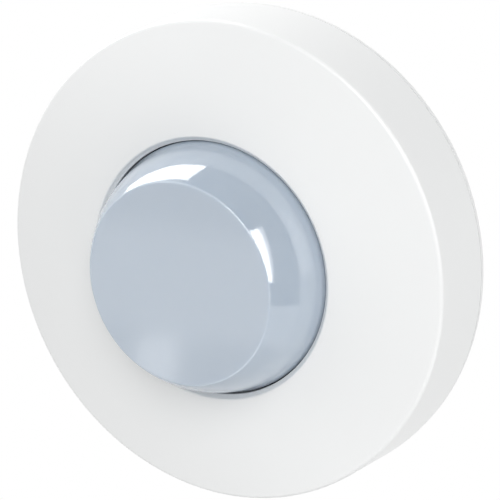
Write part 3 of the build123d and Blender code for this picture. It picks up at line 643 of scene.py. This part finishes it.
# The face stays crowned up to here and rolls down to the hole's edge from here.
LIP_START = 22.05
HOLE_RADIUS = 21.65
HOLE_EDGE_HEIGHT = LIP_HEIGHT - 0.15
HOLE_CHAMFER = (21.15, HOLE_EDGE_HEIGHT - 0.5)
HOLE_FOOT = (21.3, HOLE_EDGE_HEIGHT - 2.7)
COLLAR_OUTER = 22.75
CROWN_CENTRE = (COVER_RIM_HEIGHT**2 + COVER_FRONT**2 - LIP_HEIGHT**2 - LIP_RADIUS**2) / (
    2 * (COVER_RIM_HEIGHT - LIP_HEIGHT))
CROWN_BALL = hypot(COVER_FRONT, COVER_RIM_HEIGHT - CROWN_CENTRE)
print("cover: front radius", round(COVER_FRONT, 3), "mm, crown's ball", round(CROWN_BALL), "mm")


# %% Curves for outlines
def rounded(before, corner, after, radius, steps=6, lead=0.15):
    """Replaces a corner by an arc, with one more point a little way off on each side."""
    b, c, a = Vector(before), Vector(corner), Vector(after)
    to_b, to_a = (b - c).normalized(), (a - c).normalized()
    half = to_b.angle(to_a) / 2
    reach = radius / abs(sin(half) / cos(half))
    centre = c + (to_b + to_a).normalized() * (radius / sin(half))
    start, end = c + to_b * reach - centre, c + to_a * reach - centre
    sweep = start.angle_signed(end)
    turns = [Matrix.Rotation(-sweep * step / steps, 2) for step in range(steps + 1)]
    bend = [tuple(centre + turn @ start) for turn in turns]
    first, last = c + to_b * (reach + lead), c + to_a * (reach + lead)
    return [tuple(first)] + bend + [tuple(last)]


def between(start, end, steps):
    """Points from a start up to, but without, an end."""
    a, b = Vector(start), Vector(end)
    return [tuple(a.lerp(b, step / steps)) for step in range(steps)]


def tangent_arc(start, direction, end, steps):
    """Points after the start along an arc that leaves it in a direction and ends at the end."""
    s, e, d = Vector(start), Vector(end), Vector(direction).normalized()
    normal = Vector((-d.y, d.x))
    chord = e - s
    radius = chord.length_squared / (2 * chord.dot(normal))
    centre = s + normal * radius
    sweep = (s - centre).angle_signed(e - centre)
    turns = [Matrix.Rotation(-sweep * step / steps, 2) for step in range(1, steps + 1)]
    return [tuple(centre + turn @ (s - centre)) for turn in turns]


print("a rounded corner takes", len(rounded((0, 1), (0, 0), (1, 0), 0.2)), "points")


# %% Outline of the cover
def crown(radius, depth=0.0):
    """A point of the crowned face, or of a surface below it by the depth."""
    return (radius, CROWN_CENTRE + sqrt((CROWN_BALL - depth) ** 2 - radius**2))


def crown_run(start, end, steps, depth=0.0):
    """Points along the crown from one radius to another."""
    return [crown(start + (end - start) * step / steps, depth) for step in range(steps + 1)]


def cover_outline():
    """The cover's cross-section, from its rear edge over the face and back inside."""
    rear = (COVER_REAR, COVER_REAR_HEIGHT)
    rim = (COVER_FRONT, COVER_RIM_HEIGHT)
    lip = crown(LIP_START)
    edge = (HOLE_RADIUS, HOLE_EDGE_HEIGHT)
    collar = (COLLAR_OUTER, HOLE_FOOT[1])
    inner_rear = (COVER_REAR - SKIRT_WALL, COVER_REAR_HEIGHT)
    # The rear edge and the side wall.
    points = rounded(inner_rear, rear, rim, REAR_ROUNDING)
    points += between(points[-1], rim, 8)[1:-1]
    # The front rim and the crowned face.
    points += rounded(rear, rim, crown(COVER_FRONT - 2), RIM_ROUNDING, steps=12)
    points += crown_run(points[-1][0] - 0.4, LIP_START, 24)
    # The roll into the hole, and the hole's wall.
    points += tangent_arc(lip, (CROWN_CENTRE - lip[1], LIP_START), edge, 10)
    points += rounded(edge, HOLE_CHAMFER, HOLE_FOOT, 0.1, steps=3, lead=0.05)
    points += rounded(HOLE_CHAMFER, HOLE_FOOT, collar, 0.2, steps=4)
    # The collar's outside, the inside of the face and the inside of the side wall.
    points += [collar] + crown_run(COLLAR_OUTER, COVER_FRONT - SKIRT_WALL, 12, COVER_WALL)
    return points + [inner_rear]


outline = cover_outline()
print("cover outline:", len(outline), "points")

# %% [markdown]
# The shell is turned with the lathe tree. Inside it carries six upright ribs that grip the base plate's ring,
# one of them deeper as a key, and its rear edge has a small notch at the bottom for a screwdriver. Ribs
# repeat round the axis, so a second tree does that: it sets copies of one rib at even angles.


# %% Copies round an axis
def ring_tree():
    """Copies a shape a number of times round the Y axis, from a start angle in steps of degrees."""
    tree, given = new_tree("copies round an axis", Count="Int", Start="Float", Step="Float", Finish="Material")
    points = add(tree, "GeometryNodePoints", Count=given["Count"])
    angle = add(tree, MATH, TIMES_PLUS, add(tree, "GeometryNodeInputIndex"), given["Step"], given["Start"])
    back = add(tree, MATH, TIMES, angle, -1)
    turn = add(tree, "ShaderNodeCombineXYZ", Y=add(tree, MATH, {"operation": "RADIANS"}, back))
    copies = add(tree, "GeometryNodeInstanceOnPoints", Points=points, Instance=given["Geometry"], Rotation=turn)
    finish_tree(tree, copies, given["Finish"])
    return tree


RING = ring_tree()
print("ring tree has", len(RING.nodes), "nodes")

# %% Ribs and key
RIB_INNER = 38.55
RIB_LOW, RIB_HIGH = 2.6, 7.9
RIB_WIDTH = 3.0
RIB_EDGE = 0.15
RIB_OUTER = COVER_REAR - SKIRT_WALL / 2 - 0.6
RIB_COUNT = 6
RIB_STEP = 360.0 / RIB_COUNT
KEY_DEPTH = 0.8
KEY_ANGLE = 45.0


def brick(low, high, edge=0.0):
    """A block between two corners in millimetres (x, depth, up), with broken edges if wanted."""
    shape = bmesh.new()
    bmesh.ops.create_cube(shape, size=1)
    size = Vector(high) - Vector(low)
    middle = (Vector(high) + Vector(low)) / 2
    bmesh.ops.scale(shape, vec=size * MM, verts=shape.verts)
    bmesh.ops.translate(shape, vec=middle * MM, verts=shape.verts)
    if edge:
        bmesh.ops.bevel(shape, geom=shape.edges[:], offset=edge * MM, segments=2, affect="EDGES")
    return mesh_of("brick", shape)


def rib_mesh(inner):
    """One upright rib whose outer side is sunk in the skirt."""
    return brick((inner, -RIB_HIGH, -RIB_WIDTH / 2), (RIB_OUTER, -RIB_LOW, RIB_WIDTH / 2), RIB_EDGE)


ribs = grow("ribs", RING, rib_mesh(RIB_INNER), Count=RIB_COUNT - 1, Start=KEY_ANGLE + RIB_STEP,
            Step=RIB_STEP, Finish=white_abs)
key = grow("key", RING, rib_mesh(RIB_INNER - KEY_DEPTH), Count=1, Start=KEY_ANGLE, Step=0.0, Finish=white_abs)
print("ribs and key:", len(ribs.data.polygons) + len(key.data.polygons), "faces")

# %% Make the cover
NOTCH_WIDTH = 8.0
NOTCH_TOP = 2.15
NOTCH_INNER = 38.5


def join(name, pieces):
    """Joins several pieces into one, in the first one's finish."""
    shape = bmesh.new()
    for piece in pieces:
        shape.from_mesh(piece.data)
    mesh = mesh_of(name, shape)
    mesh.materials.append(pieces[0].data.materials[0])
    for piece in pieces:
        bpy.data.objects.remove(piece)
    return new_object(name, mesh)


def cut(piece, tool):
    """Cuts a tool's shape out of a piece."""
    modifier = piece.modifiers.new("cut", "BOOLEAN")
    modifier.operation = "DIFFERENCE"
    modifier.solver = "EXACT"
    modifier.object = tool
    mesh = plain_mesh(piece)
    piece.modifiers.clear()
    piece.data = mesh
    bpy.data.objects.remove(tool)


shell = grow("cover_shell", LATHE, outline_mesh(outline), Segments=SEGMENTS, Closed=1, Finish=white_abs)
clean(shell)
notch = brick((-NOTCH_WIDTH / 2, -NOTCH_TOP, -COVER_REAR - 1), (NOTCH_WIDTH / 2, 0, -NOTCH_INNER))
cut(shell, new_object("notch", notch))
cover_shell = clean(join("cover_shell", [shell, ribs, key]), sharp=30)
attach(cover_shell, "cover")
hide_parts("cover_ring")
print("cover:", len(cover_shell.data.polygons), "faces")

# %% [markdown]
# ## The lens
#
# The lens is a thin dome of tinted polyethylene, which lets heat rays through. Its side rises straight, bends
# in like a ball and ends in a flat round face. Just under the edge of the cover's hole it has a flat bead,
# which keeps the gap narrow. Under the face, fine saw-tooth rings work as a Fresnel lens. It is turned on
# the same lathe, with the rings as part of the outline, and gets three bayonet lugs.

# %% Sizes of the lens, in millimetres
LENS_RADIUS = 20.8
LENS_FOOT = 7.05
LENS_SHOULDER = 11.9
LENS_FACE_RADIUS = 16.5
LENS_FACE = LIP_HEIGHT + 9.1
LENS_WALL = 1.2
LENS_EDGE = 0.4
BEAD_RADIUS = 21.0
BEAD_TOP = 14.5
BEAD_FOOT = 12.4
BEAD_ROUNDING = 0.5
BEAD_BLEND = 1.4
RING_FIRST = 2.4
RING_PITCH = 1.6
RING_WIDTH = 1.4
RING_DEPTH = 0.35
LUG_INNER = LENS_RADIUS - 0.3
LUG_REACH = 22.3
LUG_THICKNESS = 1.15
LUG_ANGLE = 16.0
LUG_COUNT = 3
print("lens:", round(LENS_FACE - COVER_RIM_HEIGHT, 2), "mm in front of the rim")


# %% Outline of the lens
def shoulder_arc(wall):
    """Points of the ball-shaped side, from its widest place to the face, a wall inside the outer surface."""
    inset, rise = LENS_RADIUS - LENS_FACE_RADIUS, LENS_FACE - LENS_SHOULDER
    ball = (inset**2 + rise**2) / (2 * inset)
    centre = LENS_RADIUS - ball
    top = rise - wall
    steps = 28
    end = atan2(top, sqrt((ball - wall) ** 2 - top**2))
    angles = [end * step / steps for step in range(steps + 1)]
    return [(centre + (ball - wall) * cos(a), LENS_SHOULDER + (ball - wall) * sin(a)) for a in angles]


def lens_outline():
    """Outline from the middle of the face down the outside and back up inside to the axis."""
    outer = shoulder_arc(0)
    corner = rounded(outer[-3], outer[-1], (0, LENS_FACE), LENS_EDGE, steps=8, lead=0.1)
    side = [point for point in outer if BEAD_TOP + BEAD_BLEND < point[1] < corner[0][1] - 0.05]
    # The flat face, its edge and the ball-shaped side.
    points = [(0, LENS_FACE)] + between((2, LENS_FACE), (LENS_FACE_RADIUS - 1, LENS_FACE), 8)
    points += corner[::-1] + side[::-1]
    # The bead and the straight foot.
    bead_top, bead_foot = (BEAD_RADIUS, BEAD_TOP), (BEAD_RADIUS, BEAD_FOOT)
    points += rounded(side[0], bead_top, bead_foot, BEAD_ROUNDING)
    points += rounded(bead_top, bead_foot, (LENS_RADIUS, BEAD_FOOT), 0.1, steps=3)
    points += between((LENS_RADIUS, BEAD_FOOT), (LENS_RADIUS, LENS_FOOT), 3)
    inner_foot = (LENS_RADIUS - LENS_WALL, LENS_FOOT)
    points += rounded((LENS_RADIUS, LENS_SHOULDER), (LENS_RADIUS, LENS_FOOT), inner_foot, 0.2, steps=3)[1:-1]
    # The inside of the side, and the saw-tooth rings under the face.
    points += [inner_foot] + shoulder_arc(LENS_WALL)
    face = LENS_FACE - LENS_WALL
    count = int((points[-1][0] - RING_FIRST) / RING_PITCH)
    for index in reversed(range(count)):
        radius = RING_FIRST + index * RING_PITCH
        points += [(radius + RING_WIDTH, face), (radius, face + RING_DEPTH), (radius, face)]
    return points + [(0, face)]


outline = lens_outline()
print("lens outline:", len(outline), "points")


# %% Make the lens
def lug_mesh():
    """One bayonet lug: a short piece of a flat ring at the lens's foot."""
    steps = 8
    top = LENS_FOOT + LUG_THICKNESS
    corners = [(LUG_INNER, LENS_FOOT), (LUG_REACH, LENS_FOOT), (LUG_REACH, top), (LUG_INNER, top)]
    shape = bmesh.new()
    rings = []
    for step in range(steps + 1):
        a = radians(LUG_ANGLE * (step / steps - 0.5))
        rings.append([shape.verts.new((r * cos(a) * MM, -h * MM, r * sin(a) * MM)) for r, h in corners])
    for one, two in zip(rings, rings[1:]):
        for index in range(4):
            after = (index + 1) % 4
            shape.faces.new((one[index], one[after], two[after], two[index]))
    shape.faces.new(rings[0])
    shape.faces.new(rings[-1][::-1])
    return mesh_of("lug", shape)


dome = grow("dome", LATHE, outline_mesh(outline), Segments=SEGMENTS, Closed=0, Finish=lens_polyethylene)
clean(dome)
lugs = grow("lugs", RING, lug_mesh(), Count=LUG_COUNT, Start=0.0, Step=360.0 / LUG_COUNT,
            Finish=lens_polyethylene)
lens_shell = clean(join("lens_shell", [dome, lugs]), sharp=30)
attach(lens_shell, "lens")
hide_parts("lens_cap")
print("lens:", len(lens_shell.data.polygons), "faces")

# %% [markdown]
# ## Two trees for small details
#
# Tracks and printing are all thin bars and dots that follow a plan. The plan is drawn with a few functions:
# an arc, a line along the radius, an outline round a part. One tree lays a flat bar along every edge of a
# plan, and the other sets a flat round dot on every point. Bars and dots are sunk a hundredth of a
# millimetre into the surface they lie on, because copper and ink touch what carries them.


# %% Bars along edges
BAR_STEP = 0.003 * MM


def bars_tree():
    """Lays a flat bar along every edge of a plan. Every other bar lies a hair deeper, to keep joints clean."""
    tree, given = new_tree("flat bars along a plan", Width="Float", Thickness="Float", Finish="Material")
    ends = add(tree, "GeometryNodeInputMeshEdgeVertices").outputs
    along = add(tree, "ShaderNodeVectorMath", MINUS, ends["Position 2"], ends["Position 1"])
    kept = add(tree, "GeometryNodeCaptureAttribute", {"domain": "EDGE"}, Geometry=given["Geometry"])
    kept.capture_items.new("VECTOR", "along")
    tree.links.new(along.outputs[0], kept.inputs[1])
    points = add(tree, "GeometryNodeMeshToPoints", {"mode": "EDGES"}, Mesh=kept.outputs[0])
    odd = add(tree, MATH, {"operation": "MODULO"}, add(tree, "GeometryNodeInputIndex"), 2)
    step = add(tree, "ShaderNodeCombineXYZ", Y=add(tree, MATH, TIMES, odd, BAR_STEP))
    points = add(tree, "GeometryNodeSetPosition", Geometry=points, Offset=step)
    axes = add(tree, "ShaderNodeSeparateXYZ", Vector=kept.outputs[1]).outputs
    angle = add(tree, MATH, {"operation": "ARCTAN2"}, axes["Z"], axes["X"])
    rotation = add(tree, "ShaderNodeCombineXYZ", Y=add(tree, MATH, TIMES, angle, -1))
    length = add(tree, "ShaderNodeVectorMath", {"operation": "LENGTH"}, kept.outputs[1])
    reach = add(tree, MATH, TIMES_PLUS, given["Width"], 0.6, length)
    size = add(tree, "ShaderNodeCombineXYZ", X=reach, Y=given["Thickness"], Z=given["Width"])
    cube = add(tree, "GeometryNodeMeshCube", Size=(1, 1, 1))
    copies = add(tree, "GeometryNodeInstanceOnPoints", Points=points, Instance=cube, Rotation=rotation,
                 Scale=size)
    finish_tree(tree, copies, given["Finish"])
    return tree


BARS = bars_tree()
print("bars tree has", len(BARS.nodes), "nodes")


# %% Dots on points
def dots_tree():
    """Sets a flat round dot, whose axis is across the wall, on every point of a plan."""
    tree, given = new_tree("round dots on a plan", Radius="Float", Thickness="Float", Finish="Material")
    points = add(tree, "GeometryNodeMeshToPoints", Mesh=given["Geometry"])
    disc = add(tree, "GeometryNodeMeshCylinder", Vertices=16, Radius=given["Radius"], Depth=given["Thickness"])
    copies = add(tree, "GeometryNodeInstanceOnPoints", Points=points, Instance=disc, Rotation=(pi / 2, 0, 0))
    finish_tree(tree, copies, given["Finish"])
    return tree


DOTS = dots_tree()
print("dots tree has", len(DOTS.nodes), "nodes")

# %% Places on the board, in millimetres and degrees
BOARD_FRONT = 6.2
PARTS_CIRCLE = 30.2
PITCH = 2.54
PIN_ROW = [PITCH * (place - 1.5) for place in range(4)]
DIAL_ANGLES = {"time": 206.0, "light": 230.0, "range": 254.0}
CAPACITOR_ANGLES = (317.0, 330.0)
SWITCHES_ANGLE = 126.0
BUTTON_ANGLE = 19.5
RELAY_ANGLE = 342.5
TERMINAL_ANGLE = 65.0
# How far copper and ink stand out of the board, and how far they are sunk into it.
TRACK_RISE = 0.035
SPOKE_RISE = 0.025
INK_RISE = 0.05
SUNK = 0.01
print("most parts stand on a circle of", PARTS_CIRCLE, "mm")


# %% Plans of the details
def on_circle(radius, angle):
    """Place on a circle in millimetres, seen from the front, at an angle in degrees."""
    return (radius * cos(radians(angle)), radius * sin(radians(angle)))


def arc(radius, start, end, step=3.0):
    """A run of points along an arc."""
    count = max(2, ceil(abs(end - start) / step) + 1)
    return [on_circle(radius, start + (end - start) * index / (count - 1)) for index in range(count)]


def spoke(angle, inner, outer, offset=0.0):
    """A line along the radius, moved sideways by an offset."""
    side = on_circle(offset, angle + 90)
    return [tuple(a + b for a, b in zip(on_circle(radius, angle), side)) for radius in (inner, outer)]


def frame_round(angle, radial, across):
    """A closed rectangle round a part on the parts' circle that stands square to the radius."""
    corners = ((-1, -1), (1, -1), (1, 1), (-1, 1), (-1, -1))
    return [spoke(angle, PARTS_CIRCLE + u * radial / 2, 0, v * across / 2)[0] for u, v in corners]


def at_part(angle, run):
    """Moves a run of points from the axis to the middle of the part at an angle."""
    x, z = on_circle(PARTS_CIRCLE, angle)
    return [(x + u, z + v) for u, v in run]


print("an arc of 40 degrees takes", len(arc(PARTS_CIRCLE, 0, 40)), "points")

# %% [markdown]
# ## The printed board
#
# The cover hides the board until it is pulled off. Copper tracks run in arcs beside the lens and along the
# edge, because the round board leaves its room there, and short spokes join them to the parts. A via is a
# tinned ring round a hole. The hole is not cut: a black dot of painted shade stands for its dark inside. The
# printing is white: a frame round each part, and round each dial a scale of ticks over the 270 degrees that
# it turns.

# %% Tracks
INNER_SPANS = [(105, 146), (194, 266), (309, 346), (15, 26)]
OUTER_SPANS = [(10, 53), (100, 170), (190, 214), (225, 288), (308, 316), (328, 349)]
INNER_TRACKS = (25.1, 25.7)
OUTER_TRACK = 35.2
TRACK_WIDTH = 0.32
DIAL_PINS = 27.2
SWITCH_PINS = (27.4, 33.0)
RELAY_PINS = 26.4
TRACK_BRIDGES = (144, 146, 194, 242)


def plan_mesh(runs, height):
    """A mesh of the runs' points and edges, at a height above the wall in millimetres."""
    points, edges = [], []
    for run in runs:
        edges += [(len(points) + index, len(points) + index + 1) for index in range(len(run) - 1)]
        points += [(x * MM, -height * MM, z * MM) for x, z in run]
    mesh = bpy.data.meshes.new("plan")
    mesh.from_pydata(points, edges, [])
    return mesh


def lay(name, tree, runs, height, body, slot, finish, **sizes):
    """Grows a detail from a plan and lets it ride on a body."""
    sizes = {key: value * MM for key, value in sizes.items()}
    piece = grow(name, tree, plan_mesh(runs, height), Finish=finish, **sizes)
    piece.data.shade_flat()
    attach(piece, body)
    print(name, len(piece.data.polygons), "faces")


tracks = [arc(radius, *span) for span in INNER_SPANS for radius in INNER_TRACKS]
tracks += [arc(OUTER_TRACK, *span) for span in OUTER_SPANS]
lay("board_tracks", BARS, tracks, BOARD_FRONT + (TRACK_RISE - SUNK) / 2, "base", "board_laminate", track_mask,
    Width=TRACK_WIDTH, Thickness=TRACK_RISE + SUNK)

inner = INNER_TRACKS[1]
spokes = [spoke(angle, inner, DIAL_PINS, pin) for angle in DIAL_ANGLES.values() for pin in (-PITCH, 0, PITCH)]
spokes += [spoke(SWITCHES_ANGLE, inner, SWITCH_PINS[0], pin) for pin in PIN_ROW]
spokes += [spoke(SWITCHES_ANGLE, SWITCH_PINS[1], OUTER_TRACK, pin) for pin in PIN_ROW]
spokes += [spoke(angle, inner, OUTER_TRACK) for angle in TRACK_BRIDGES]
spokes += [spoke(RELAY_ANGLE, inner, RELAY_PINS, pin) for pin in (-PITCH / 2, PITCH / 2)]
lay("track_spokes", BARS, spokes, BOARD_FRONT + (SPOKE_RISE - SUNK) / 2, "base", "board_laminate", track_mask,
    Width=TRACK_WIDTH, Thickness=SPOKE_RISE + SUNK)

# %% Vias
VIA_RADIUS, VIA_HOLE, VIA_THICKNESS = 0.34, 0.16, 0.06
VIA_HEIGHT, VIA_HOLE_HEIGHT = BOARD_FRONT + 0.02, BOARD_FRONT + 0.03
vias = [on_circle(radius, end) for span in INNER_SPANS for end in span for radius in INNER_TRACKS]
vias += [on_circle(OUTER_TRACK, end) for span in OUTER_SPANS for end in span]
# One row of vias along the radius beside the dials, and one along an arc near the edge.
vias += [on_circle(27.6 + 1.3 * index, 197) for index in range(5)]
vias += [on_circle(33.6, 150 + 3 * index) for index in range(6)]
via_runs = [[place] for place in vias]
lay("board_vias", DOTS, via_runs, VIA_HEIGHT, "base", "tinned_metal", tin_plate, Radius=VIA_RADIUS,
    Thickness=VIA_THICKNESS)
# Painted shade: a black dot on each via stands for the dark inside of its hole, which the board doesn't have.
lay("via_hole_shade", DOTS, via_runs, VIA_HOLE_HEIGHT, "base", "dip_plastic", black_ink_and_hole_shade, Radius=VIA_HOLE,
    Thickness=VIA_THICKNESS)

# %% Printing
# Sizes of the printed frames, along the radius and across it.
FRAMES = {SWITCHES_ANGLE: (6.8, 12.0), BUTTON_ANGLE: (6.7, 6.7), RELAY_ANGLE: (9.5, 5.1),
          TERMINAL_ANGLE: (11.4, 9.1)}
INK_WIDTH = 0.18
DIAL_TURN = 270.0
TICKS = 11
TICK_START, SHORT_TICK, LONG_TICK = 4.95, 5.4, 5.7
CAPACITOR_RING = 3.2
printing = [frame_round(angle, *size) for angle, size in FRAMES.items()]
for angle in DIAL_ANGLES.values():
    for index in range(TICKS):
        turn = angle - DIAL_TURN / 2 + DIAL_TURN * index / (TICKS - 1)
        end = LONG_TICK if index % 5 == 0 else SHORT_TICK
        printing.append(at_part(angle, [on_circle(radius, turn) for radius in (TICK_START, end)]))
printing += [at_part(angle, arc(CAPACITOR_RING, 0, 360, 15)) for angle in CAPACITOR_ANGLES]
lay("board_printing", BARS, printing, BOARD_FRONT + (INK_RISE - SUNK) / 2, "base", "board_laminate", white_ink,
    Width=INK_WIDTH, Thickness=INK_RISE + SUNK)

# %% [markdown]
# ## Numbers and marks
#
# Plain numbers tell the switches and terminals apart. Text is a curve in Blender, so each number becomes a
# mesh first and is then placed. A capacitor shows its minus side by a black segment on its lid, a chip shows
# its first leg by a dot, and each dial carries one dark pointer mark that turns with it.


# %% Numbers
def number_mesh(number, size, angle, radius, offset, height):
    """A number as a mesh, its top pointing away from the axis."""
    curve = bpy.data.curves.new("number", "FONT")
    curve.body = str(number)
    curve.size = size * MM
    curve.align_x = "CENTER"
    curve.align_y = "CENTER"
    curve.extrude = INK_RISE * MM / 2
    curve.resolution_u = 3
    holder = new_object("number", curve)
    mesh = plain_mesh(holder)
    bpy.data.objects.remove(holder)
    x, z = spoke(angle, radius, 0, offset)[0]
    turn = Matrix.Rotation(radians(90 - angle), 4, "Y") @ Matrix.Rotation(radians(90), 4, "X")
    mesh.transform(Matrix.Translation((x * MM, -height * MM, z * MM)) @ turn)
    return mesh


def set_piece(name, meshes, finish, body):
    """Joins meshes into one piece in one finish, which rides on a body."""
    holders = []
    for mesh in meshes:
        mesh.materials.clear()
        mesh.materials.append(finish)
        holders.append(new_object("part", mesh))
    piece = join(name, holders)
    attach(piece, body)
    print(name, len(piece.data.polygons), "faces")


SWITCHES_TOP = 9.0
SWITCH_DIGIT = 1.15
SWITCH_DIGIT_RADIUS = PARTS_CIRCLE + 2.35
TERMINAL_TOP = 11.7
TERMINAL_PITCH = 2.5
TERMINAL_DIGIT = 1.3
TERMINAL_DIGIT_OFFSET = -3.1
digits = [number_mesh(place + 1, SWITCH_DIGIT, SWITCHES_ANGLE, SWITCH_DIGIT_RADIUS, PIN_ROW[place],
                      SWITCHES_TOP) for place in range(4)]
set_piece("switch_numbers", digits, white_ink, "base")
digits = [number_mesh(place + 1, TERMINAL_DIGIT, TERMINAL_ANGLE, PARTS_CIRCLE + TERMINAL_PITCH * (place - 1.5),
                      TERMINAL_DIGIT_OFFSET, TERMINAL_TOP) for place in range(4)]
set_piece("terminal_numbers", digits, black_ink_and_hole_shade, "base")

# %% Marks on the capacitors, the chip and the dials
MARK_THICKNESS = 0.02
CAN_TOP = 11.2
CAN_MARK_RADIUS = 2.45


def minus_segment(angle):
    """A thin segment of a circle on the capacitor at an angle, towards the board's edge."""
    rim = [on_circle(CAN_MARK_RADIUS, angle + turn) for turn in range(-60, 61, 12)]
    shape = bmesh.new()
    points = [(x * MM, -(CAN_TOP + MARK_THICKNESS / 2) * MM, z * MM) for x, z in at_part(angle, rim)]
    face = shape.faces.new([shape.verts.new(point) for point in points])
    solid = bmesh.ops.extrude_face_region(shape, geom=[face])
    lifted = [item for item in solid["geom"] if isinstance(item, bmesh.types.BMVert)]
    bmesh.ops.translate(shape, verts=lifted, vec=(0, MARK_THICKNESS * MM, 0))
    bmesh.ops.recalc_face_normals(shape, faces=shape.faces)
    return mesh_of("segment", shape)


set_piece("capacitor_minus", [minus_segment(angle) for angle in CAPACITOR_ANGLES], black_ink_and_hole_shade, "base")

CHIP_DOT = (28.0, 292.0)
CHIP_DOT_RADIUS = 0.35
CHIP_TOP = 7.45
lay("chip_dot", DOTS, [[on_circle(*CHIP_DOT)]], CHIP_TOP, "base", "chip_ceramic", white_ink,
    Radius=CHIP_DOT_RADIUS, Thickness=MARK_THICKNESS)

DIAL_TOP = 10.1
POINTER_ENDS = (1.5, 2.6)
POINTER_WIDTH = 0.4
for name, angle in DIAL_ANGLES.items():
    pointer = spoke(angle, *(PARTS_CIRCLE + end for end in POINTER_ENDS))
    lay(name + "_pointer", BARS, [pointer], DIAL_TOP, name + "_dial", "switch_plastic", black_ink_and_hole_shade,
        Width=POINTER_WIDTH, Thickness=MARK_THICKNESS)

# %% [markdown]
# The twelve small parts round the sensor are resistors and ceramic capacitors. Each has a tinned cap at both
# ends, so one pair of caps is copied round the axis with the ring tree, at the same steps as the parts.

# %% End caps of the small parts
SMALL_CIRCLE = 16.4
SMALL_HALF = 0.85
SMALL_COUNT, SMALL_START, SMALL_STEP = 12, 70.0, 14.0
CAP_HALF_WIDTH = 0.47
CAP_TOP = 6.82
CAP_REACH = 0.35
CAP_LAP = 0.02
cap_pair = bmesh.new()
for side in (-1, 1):
    near, far = sorted((side * (SMALL_HALF + CAP_LAP), side * (SMALL_HALF - CAP_REACH)))
    cap_pair.from_mesh(brick((SMALL_CIRCLE - CAP_HALF_WIDTH, -CAP_TOP, near),
                             (SMALL_CIRCLE + CAP_HALF_WIDTH, -BOARD_FRONT, far)))
caps = grow("small_part_caps", RING, mesh_of("cap_pair", cap_pair), Count=SMALL_COUNT, Start=SMALL_START,
            Step=SMALL_STEP, Finish=tin_plate)
caps.data.shade_flat()
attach(caps, "base")
print("caps:", len(caps.data.polygons), "faces")
